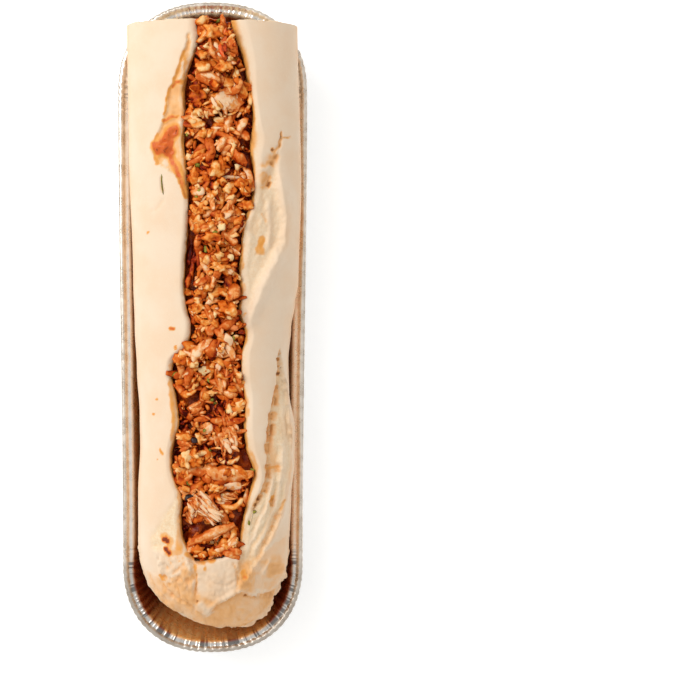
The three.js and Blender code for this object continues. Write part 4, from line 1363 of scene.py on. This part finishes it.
# %% Filling finishes
def bits_finish(name, ramp, rough=0.4, coat=0.02, grain_mm=1.9, swing=0.17):
    finish = Finish(name, Roughness=rough)
    finish.shader.inputs["Specular IOR Level"].default_value = 0.1
    finish.shader.inputs["Coat Weight"].default_value = coat
    finish.shader.inputs["Coat Roughness"].default_value = 0.25
    grain = finish.noise(grain_mm, detail=2)
    normal = finish.add("ShaderNodeTexCoord").outputs["Normal"]
    # Painted shade, partly sauce: a bit's sides, which face less upwards, are darker than its top
    shade_by_facing = finish.add("ShaderNodeSeparateXYZ", {0: normal}).outputs["Z"]
    tint = finish.sum(finish.mark("tint"), finish.between(grain, 0.3, 0.7, -swing, swing))
    tint = finish.sum(tint, finish.between(shade_by_facing, 0.1, 1.0, -0.34, 0.0))
    colour = None
    for (low, first), (high, second) in zip(ramp[:-1], ramp[1:]):
        colour = first if colour is None else colour
        colour = finish.blend(finish.between(tint, low, high), colour, second)
    finish.send(colour, "Base Color")
    finish.bump((grain, 0.3), (finish.noise(0.5, detail=2), 0.08))
    return finish.material


SAUCED = [(-0.1, (0.08, 0.003, 0.0002)), (0.12, (0.30, 0.02, 0.001)), (0.34, (0.55, 0.085, 0.006))]


def sauced(*tones):
    """The whole ramp of a bit in sauce, from its three lighter tones."""
    return SAUCED + list(zip((0.58, 0.82, 1.1), tones))


GOLD = sauced((0.73, 0.16, 0.012), (0.87, 0.33, 0.065), (0.95, 0.61, 0.28))
PINK = sauced((0.69, 0.15, 0.02), (0.84, 0.34, 0.10), (0.92, 0.63, 0.39))
CREAM = sauced((0.77, 0.24, 0.04), (0.89, 0.45, 0.14), (0.95, 0.70, 0.37))
GREEN = [(0.0, (0.06, 0.04, 0.005)), (0.5, (0.17, 0.15, 0.015)), (1.0, (0.36, 0.33, 0.05))]
RED = [(0.0, (0.4, 0.02, 0.002)), (0.4, (0.8, 0.10, 0.01)), (1.0, (0.88, 0.28, 0.08))]
DARK = [(0.0, (0.008, 0.004, 0.004)), (1.0, (0.07, 0.04, 0.045))]
onion_finish = bits_finish("crisp_onion", GOLD)
chicken_finish = bits_finish("pulled_chicken", PINK)
nut_finish = bits_finish("chopped_nut", CREAM, 0.5)
herb_finish = bits_finish("herb", GREEN, 0.45, 0.1, 1.0, 0.15)
pepper_finish = bits_finish("red_pepper", RED, 0.3, 0.3, 1.4, 0.12)
toasted_finish = bits_finish("toasted_seed", DARK, 0.4, 0.3)
core_finish = Finish("thick_sauce", Roughness=0.3)
pooled = core_finish.noise(2.5, detail=4)
core_finish.shader.inputs["Specular IOR Level"].default_value = 0.25
deep_red, warm_red = (0.16, 0.008, 0.0004), (0.5, 0.08, 0.006)
core_tone = core_finish.blend(core_finish.between(pooled, 0.35, 0.7), deep_red, warm_red)
core_finish.send(core_tone, "Base Color")
core_finish.bump((pooled, 0.5), (core_finish.noise(0.8, detail=3), 0.2))
core_piece = make_piece("filling_core", core.reshape(-1, 3), core_faces, core_finish.material)
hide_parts("satay_filling")

# %% [markdown]
# ### Filling the slit
#
# First come buried shreds, then a random mix of onion, chicken and nut wherever the heap is lowest. The
# pieces seen in the picture follow: each has its place in picture points, its length and width in mm,
# the way it points and its tint. Last, small crumbs and herbs settle in the low spots.

# %% Kinds of bits and the gaps between them
chicken = Bits("chicken_shreds", chicken_finish)
onion = Bits("onion_crisps", onion_finish)
nuts = Bits("nut_chips", nut_finish)
herbs = Bits("herb_bits", herb_finish)
pepper = Bits("pepper_bits", pepper_finish)
toasted = Bits("toasted_bits", toasted_finish)

MM_PER_PX_AT_SLIT = 0.43
# Dark gaps in the picture: middle, then half widths in picture points
GAPS = table("""
189,260 | 8 32; 216,161 | 4 4; 243,460 | 6 9; 203,446 | 8 5; 205,526 | 20 5; 238,517 | 9 8; 245,360 | 4 12
191,70 | 6 22; 245,427 | 4 10; 243,300 | 3 12; 200,535 | 14 5; 196,166 | 5 4; 243,140 | 7 4; 187,302 | 4 8
212,120 | 5 4; 196,112 | 4 3; 224,300 | 4 4; 192,400 | 8 4
""")


def in_gap(x, y):
    """Above 1 inside one of the dark gaps."""
    share = np.zeros(np.shape(x))
    for (spot,), wide, high in GAPS:
        middle = from_picture(spot, LIP_HEIGHT)
        half_x, half_y = wide * MM_PER_PX_AT_SLIT, high * MM_PER_PX_AT_SLIT
        away = ((x - middle[0]) / half_x) ** 2 + ((y - middle[1]) / half_y) ** 2
        share = np.maximum(share, 1.6 - away)
    return share


# %% A random heap
def low_spot(size, above, tries=14):
    """A place in the slit where the heap is lowest against its wanted height, or None."""
    y = dice.uniform(FILL_START + 1 + size * 0.3, FILL_END - size * 0.25, tries)
    share = dice.uniform(-1, 1, tries)
    mouth, lip = mouth_at(share, y)
    x = share * np.maximum(mouth - size * 0.34, 0.5)
    row, column = cells(np.column_stack([x, y]))
    missing = heap_top(x, y) + above - ground[row, column] - 3.5 * np.maximum(0, in_gap(x, y))
    best = int(np.argmax(missing))
    return (x[best], y[best]) if missing[best] > 0 else None


def made(shape, spans):
    """A bit whose length, width and curl are drawn from spans."""
    return shape(*[dice.uniform(*span) for span in spans])


def scatter(bits, shape, count, size, above, spans, **how):
    """Lays up to count bits in low spots; spans are those of length, width, perhaps curl, and tint."""
    laid = 0
    *sizes, tints = pairs(spans)
    for _ in range(count):
        spot = low_spot(size, above)
        if spot is not None:
            bits.lay(made(shape, sizes), *spot, dice.uniform(*tints), **how)
            laid += 1
    return laid


laid = [
    scatter(chicken, strand, 110, 8, -1.8, "7,14 2.6,4.6 .15,.5"),
    scatter(onion, flake, 70, 6, -0.9, "5.5,9 3.2,5 .3,.7", tip=0.5),
    scatter(onion, crisp, 90, 6, -0.9, "5,8.5 3.2,5 .35,.7"),
    scatter(chicken, strand, 130, 7, -0.5, "5,10 2,3.8 .35,.7"),
    scatter(nuts, chip, 24, 3, -0.4, "2.2,3.6 1.8,2.6 .3,.75"),
    scatter(onion, rough_crisp, 130, 4, -0.2, "3.2,5.8 2,3.4 .4,.85", tip=0.4),
]
print("random bits laid:", laid)

# %% Pieces laid one by one
# Kind, place in the picture, length, width, the way it points in degrees, tint
PIECES = """
crisp 204 25 6.4 5.2 20 .78; crisp 212 36 7.4 5.4 -10 .62; pepper 222 38 6.5 2.4 85 .5
pepper 223 51 5.6 3.4 -70 .2; strand 218 53 6.5 2.4 -70 .98; chip 207 50 3.2 2.4 20 .95
crisp 203 59 4.2 3.6 0 .75; chip 229 61 3.2 3 0 .9; crisp 208 68 7.4 4.6 10 .72
crisp 223 68 6.2 4.4 -5 .66; strand 211 79 9 4 -20 .74; strand 233 50 7.6 4 -75 .55
chip 236 76 3.4 2.4 70 .9; crisp 237 83 3.6 2.8 80 .4; bundle 229 102 5 9 -80 .9
crisp 198 99 6.4 5 20 .32; chip 207 92 2.6 2.4 0 .9; crisp 215 105 5.6 4 -60 .82
chip 199 115 4.6 3.8 -30 .97; crisp 194 123 7.6 3.6 -18 .7; strand 228 125 8 3.6 78 .7
strand 241 128 9.4 3.6 62 .74; chip 247 110 3.6 3 80 .6; strand 216 129 4.4 1.9 5 .88
crisp 203 134 3.8 3.2 0 .7; strand 190 143 4.8 4 60 .72; strand 210 145 9.5 3.8 -78 .35
strand 222 144 7.6 3.6 60 .75; chip 234 146 2.6 2.2 0 .97; chip 241 148 2.8 2.4 30 .97
chip 190 157 4.4 3.4 -40 .88; strand 211 155 7.6 3.6 72 .38; strand 236 156 12 5.4 -36 .42
crisp 195 176 6.8 6.4 70 .6; crisp 218 172 6.4 5 60 .76; chip 239 167 4 3.4 60 .96
strand 231 178 7.8 2 2 .9; strand 250 180 10 3.4 -80 .72; crisp 241 185 5 4.2 0 .3
strand 198 192 6 4.4 -10 .78; strand 211 200 9.6 3 -72 .75; crisp 230 190 5.4 4.4 0 .66
crisp 198 209 5.2 5 0 .6; strand 227 209 11 3.8 48 .6; strand 224 218 9.6 3 38 .8
chip 223 226 3.8 3.4 40 .88; crisp 245 205 5.4 4 -10 .6; crisp 238 222 5 4.6 70 .5
strand 242 227 5.6 2.2 62 .8; crisp 197 221 4.4 3 80 .66; crisp 211 237 9.4 5 -14 .42
strand 230 239 7.4 4.6 -40 .5; strand 235 251 5.6 2.4 -38 .7; chip 207 259 4.8 4 70 .92
chip 219 256 4.8 4.4 0 .94; chip 228 257 4.4 4.2 0 .9; crisp 218 266 6.8 3.4 0 .76
strand 230 270 11 3.6 45 .8; strand 213 280 7.6 2.6 80 .72; strand 201 281 7 3.4 25 .32
strand 193 266 13 3 80 .08; crisp 188 292 4.6 3.4 0 .66; crisp 201 292 6.2 4.6 30 .62
crisp 208 288 4.6 3 10 .84; strand 212 300 7 2.5 40 .88; crisp 196 306 6.2 5.4 60 .58
crisp 221 293 5.6 4 0 .62; strand 234 291 6.6 5 -70 .62; strand 208 315 6 2.3 -60 .62
crisp 202 321 6 3.2 -25 .66; crisp 228 310 7.6 7 40 .62; chip 215 314 3.2 2.4 70 .84
pepper 231 326 6.6 2.4 -25 .9; pepper 242 332 3.4 2.4 0 .5; crisp 240 341 4.6 4 70 .72
strand 228 340 6.6 4.2 -70 .88; bundle 220 351 7.6 4.6 -62 .9; strand 231 352 7.4 3.4 -62 .72
strand 193 353 6.6 3.2 -80 .78; strand 201 349 12.6 4.4 52 .8; strand 212 350 9.4 4.4 80 .3
crisp 181 360 6 5 20 .5; chip 205 371 4.4 4.2 0 1.08; strand 219 366 4.8 2.4 80 .9
strand 189 375 9 4.6 70 .42; bundle 223 381 12.5 6.4 -76 .62; chip 193 388 5.2 3.8 60 .9
strand 237 375 8.6 2.4 -66 .48; crisp 187 394 5.8 3.2 10 .68; chip 211 393 5.6 3 10 .84
crisp 241 404 4.8 3.4 50 .8; crisp 232 390 4 3.6 0 .5; chip 229 410 4 3 80 .94
bundle 198 410 7.6 7 30 .56; bundle 228 419 7 5.6 -80 .58; strand 206 429 6.4 4.6 40 .82
crisp 186 436 6 5 0 .56; toasted 194 440 3.2 2.9 0 .3; bundle 225 438 12 11 -72 .68
strand 228 448 5.6 2.6 -60 .95; crisp 185 461 7.6 5.4 75 .82; crisp 186 474 5.6 4.6 80 .78
crisp 195 460 5.4 4.8 -50 .72; curl 228 461 12 2.8 0 1.0; curl 205 455 8 2.6 180 .95
strand 232 487 8 4.6 0 1.05; crisp 215 488 4.4 3.6 0 .84; chip 223 496 3.4 2.8 0 .9
toasted 190 498 3.4 3.1 0 .2; strand 246 499 8 2.3 80 .84; slab 203 505 13 9 -42 .84
bundle 204 506 12 9 -42 .92; bundle 211 515 9 7 -38 .9; bundle 193 517 7 6 -62 .86
bundle 224 499 9 6 -15 .84; bundle 194 505 6 6 -60 .8; curl 232 505 12 2.8 12 .84
long 221 474 28 6.4 -3 .72; over 211 535 22 4.4 27 .54; curl 231 533 11 2.8 90 .78
strand 232 544 7 2.8 50 .85; strand 220 550 8 3 20 .75; crisp 197 551 5 3.6 0 .55
crisp 204 556 4.6 3.4 0 .52; crisp 213 552 4 3.2 0 .66; cut 231 100 15.5 13 75 .8
strand 214 104 5 2.2 -60 .9; crisp 250 98 4.4 2.6 80 .8; strand 224 110 6 2 -70 .9
strand 240 113 5 2 60 .85; pepper 225 38 9 2.4 80 .5; pepper 221 56 5 2 -70 .45
strand 190 255 9 2.6 82 .12; strand 189 279 8 2.4 70 .15
""".replace("\n", ";")


def lay_piece(kind, px, py, length, width, way, tint):
    """Lays one piece. A bundle is a torn sheet with loose strands; over lies on the heap, not in it."""
    x, y = from_picture((px, py), LIP_HEIGHT)
    spin = math.radians(way)
    if kind == "crisp":
        piece = rough_crisp(length * 1.1, width * 1.05, 3 if length > 5 else 2)
        onion.lay(piece, x, y, tint - 0.05, spin, 0.1, 20)
    elif kind == "chip":
        nuts.lay(rough_crisp(length * 1.1, width), x, y, tint - 0.06, spin, 0.1, 20)
    elif kind in ("strand", "long", "over"):
        bend = 0.5 if kind == "strand" else 0.25
        piece = strand(length, width, dice.uniform(-bend, bend), sides=14, fibres=0.24)
        chicken.lay(piece, x, y, tint, spin, 0.03, 3 if kind == "over" else 25)
    elif kind == "slab":
        chicken.lay(torn(length, width), x, y, tint, spin, 0.0, 30)
    elif kind == "cut":
        points, faces, hollow = crisp(length, width, 4, 0.62)
        chicken.lay((points * [1, 1, 0.42], faces, 0.24 * hollow), x, y, tint, spin, 0.0, 42)
    elif kind == "curl":
        onion.lay(strand(length, width, 2.4, sides=10, flat=0.8), x, y, tint, spin, 0.03, 25)
    elif kind == "pepper":
        pepper.lay(crisp(length, width, rough=0.9), x, y, tint, spin, 0.15, 25)
    elif kind == "toasted":
        toasted.lay(crisp(length, width, rough=0.3), x, y, tint, spin, 0.05, 15)
    elif kind == "bundle":
        chicken.lay(torn(length, width, dice.uniform(-0.3, 0.3)), x, y, tint - 0.08, spin, 0.03, 30)
        count = max(2, round(width / 2.2))
        for index in dice.permutation(count):
            off = ((index + 0.5) / count - 0.5) * width
            along_it = dice.uniform(-0.25, 0.25) * length
            piece = strand(length * dice.uniform(0.4, 0.7), dice.uniform(1.1, 2.0), sides=8, fibres=0.24)
            bx = x - off * math.sin(spin) + along_it * math.cos(spin)
            by = y + off * math.cos(spin) + along_it * math.sin(spin)
            chicken.lay(piece, bx, by, tint + dice.uniform(-0.1, 0.1), spin + dice.normal(0, 0.25), 0.06, 45)


# %% Laying the pieces
# The pieces read off the picture stand out, so they get less of the painted shade, partly sauce, where they
# lie deep
Bits.deep_sauce_and_shade, buried_before = 0.4, Bits.deep_sauce_and_shade
entries = [entry.split() for entry in PIECES.split(";") if entry.strip()]
for kind, *numbers in entries:
    lay_piece(kind, *map(float, numbers))
print("pieces laid by hand:", len(entries))

# %% Crumbs and herbs last
Bits.deep_sauce_and_shade = buried_before
laid = [
    scatter(onion, strand, 80, 6, 0.5, "3.5,7 1.1,1.9 -2.2,2.2 .3,.9", sunk=40),
    scatter(chicken, strand, 50, 6, 0.5, "3.5,6.5 1.2,2.1 .3,.85", sunk=40),
    scatter(onion, rough_crisp, 100, 2.4, 0.4, "1.8,3.4 1.2,2.2 .05,.75", sunk=30),
    scatter(chicken, rough_crisp, 50, 2.4, 0.4, "1.8,3.2 1.2,2 .05,.75", sunk=30),
    scatter(nuts, small_chip, 34, 1.6, 0.5, "1.2,2 1,1.6 .55,.95", sunk=25),
]
print("crumbs laid:", laid)
HERBS_PX = pairs("""
    219,23 187,136 198,166 197,198 205.5,249 234,338 174.5,374 209,381 211.5,400 210,451 188,484
    252,471 205,430 215,403 199,192 216,233
""")
for px, py in HERBS_PX:
    x, y = from_picture((px, py), LIP_HEIGHT)
    herbs.lay(made(crisp, [(1.8, 3.0), (1.0, 1.8)]), x, y, dice.uniform(0.5, 1.0), tip=0.3, sunk=25)
# Green bits on the bread itself: place in the picture, length and width in mm, and the way they point
GREEN_ON_BREAD = [(162.5, 184, 9.4, 0.7, -86), (253.8, 513, 2.4, 1.4, 20), (248.6, 524, 2.2, 1.6, 80)]
for px, py, length, width, way in GREEN_ON_BREAD:
    x, y = from_picture((px, py), LIP_HEIGHT)
    herbs.lay(strand(length, width, 0.3, sides=6), x, y, 0.6, math.radians(way), 0.0, 45)
    herbs.points[-1][:, 2] += show_on_crust(np.array([[x, y]]))[0][0] + 0.3

# %% [markdown]
# ### The filling at the cut end
#
# The knife went through the filling too, so bits stand upright in the slit on the cut face. They are the
# same shapes, turned to face along the roll and pressed into the core. The picture doesn't show them,
# but a flat wall of sauce would look unfinished from the end.

# %% Bits on the cut face
FACE_LOW, FACE_HIGH, FACE_HALF_LOW, FACE_HALF_HIGH = 35.0, 61.0, 4.4, 6.2
FACE_BITS, GOLDEN_SHARE = 64, 0.618
# Bits, shape, how far out of the middle it may lie, and spans of length, width and tint
FACE_KINDS = [
    (chicken, strand, 0.4, "5,8 2,3.2 .4,.75"),
    (onion, crisp, 1, "3,5 2,3.2 .4,.85"),
    (onion, flake, 0.7, "3.5,5 2.2,3.2 .35,.75"),
]

for number in range(FACE_BITS):
    bits, shape, share_out, spans = FACE_KINDS[number % 3]
    *sizes, tints = pairs(spans)
    z = FACE_LOW + (FACE_HIGH - FACE_LOW) * ((number * GOLDEN_SHARE) % 1)
    half = mix(FACE_HALF_LOW, FACE_HALF_HIGH, (z - FACE_LOW) / (FACE_HIGH - FACE_LOW)) - 1.0
    x = share_out * dice.uniform(-half, half)
    points, faces, hollow = made(shape, sizes)
    tint = dice.uniform(*tints)
    points = tumbled(points)
    points = np.column_stack([points[:, 0], np.clip(0.7 * points[:, 2], -1.5, 1.6), -points[:, 1]])
    # Painted light, partly sauce: a bit is lighter where it stands further out of the face and darker in its
    # hollows
    bits.join(points + [x, FILL_END + 0.5, z], faces, tint + 0.22 * hollow + 0.12 * points[:, 1])
for bits in (chicken, onion, nuts, herbs, pepper, toasted):
    bits.make()

# %% Print both boxes and finish
visual_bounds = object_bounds()
sizes = {"cad": [list(corner) for corner in cad_bounds], "visual": [list(corner) for corner in visual_bounds]}
print(sizes)
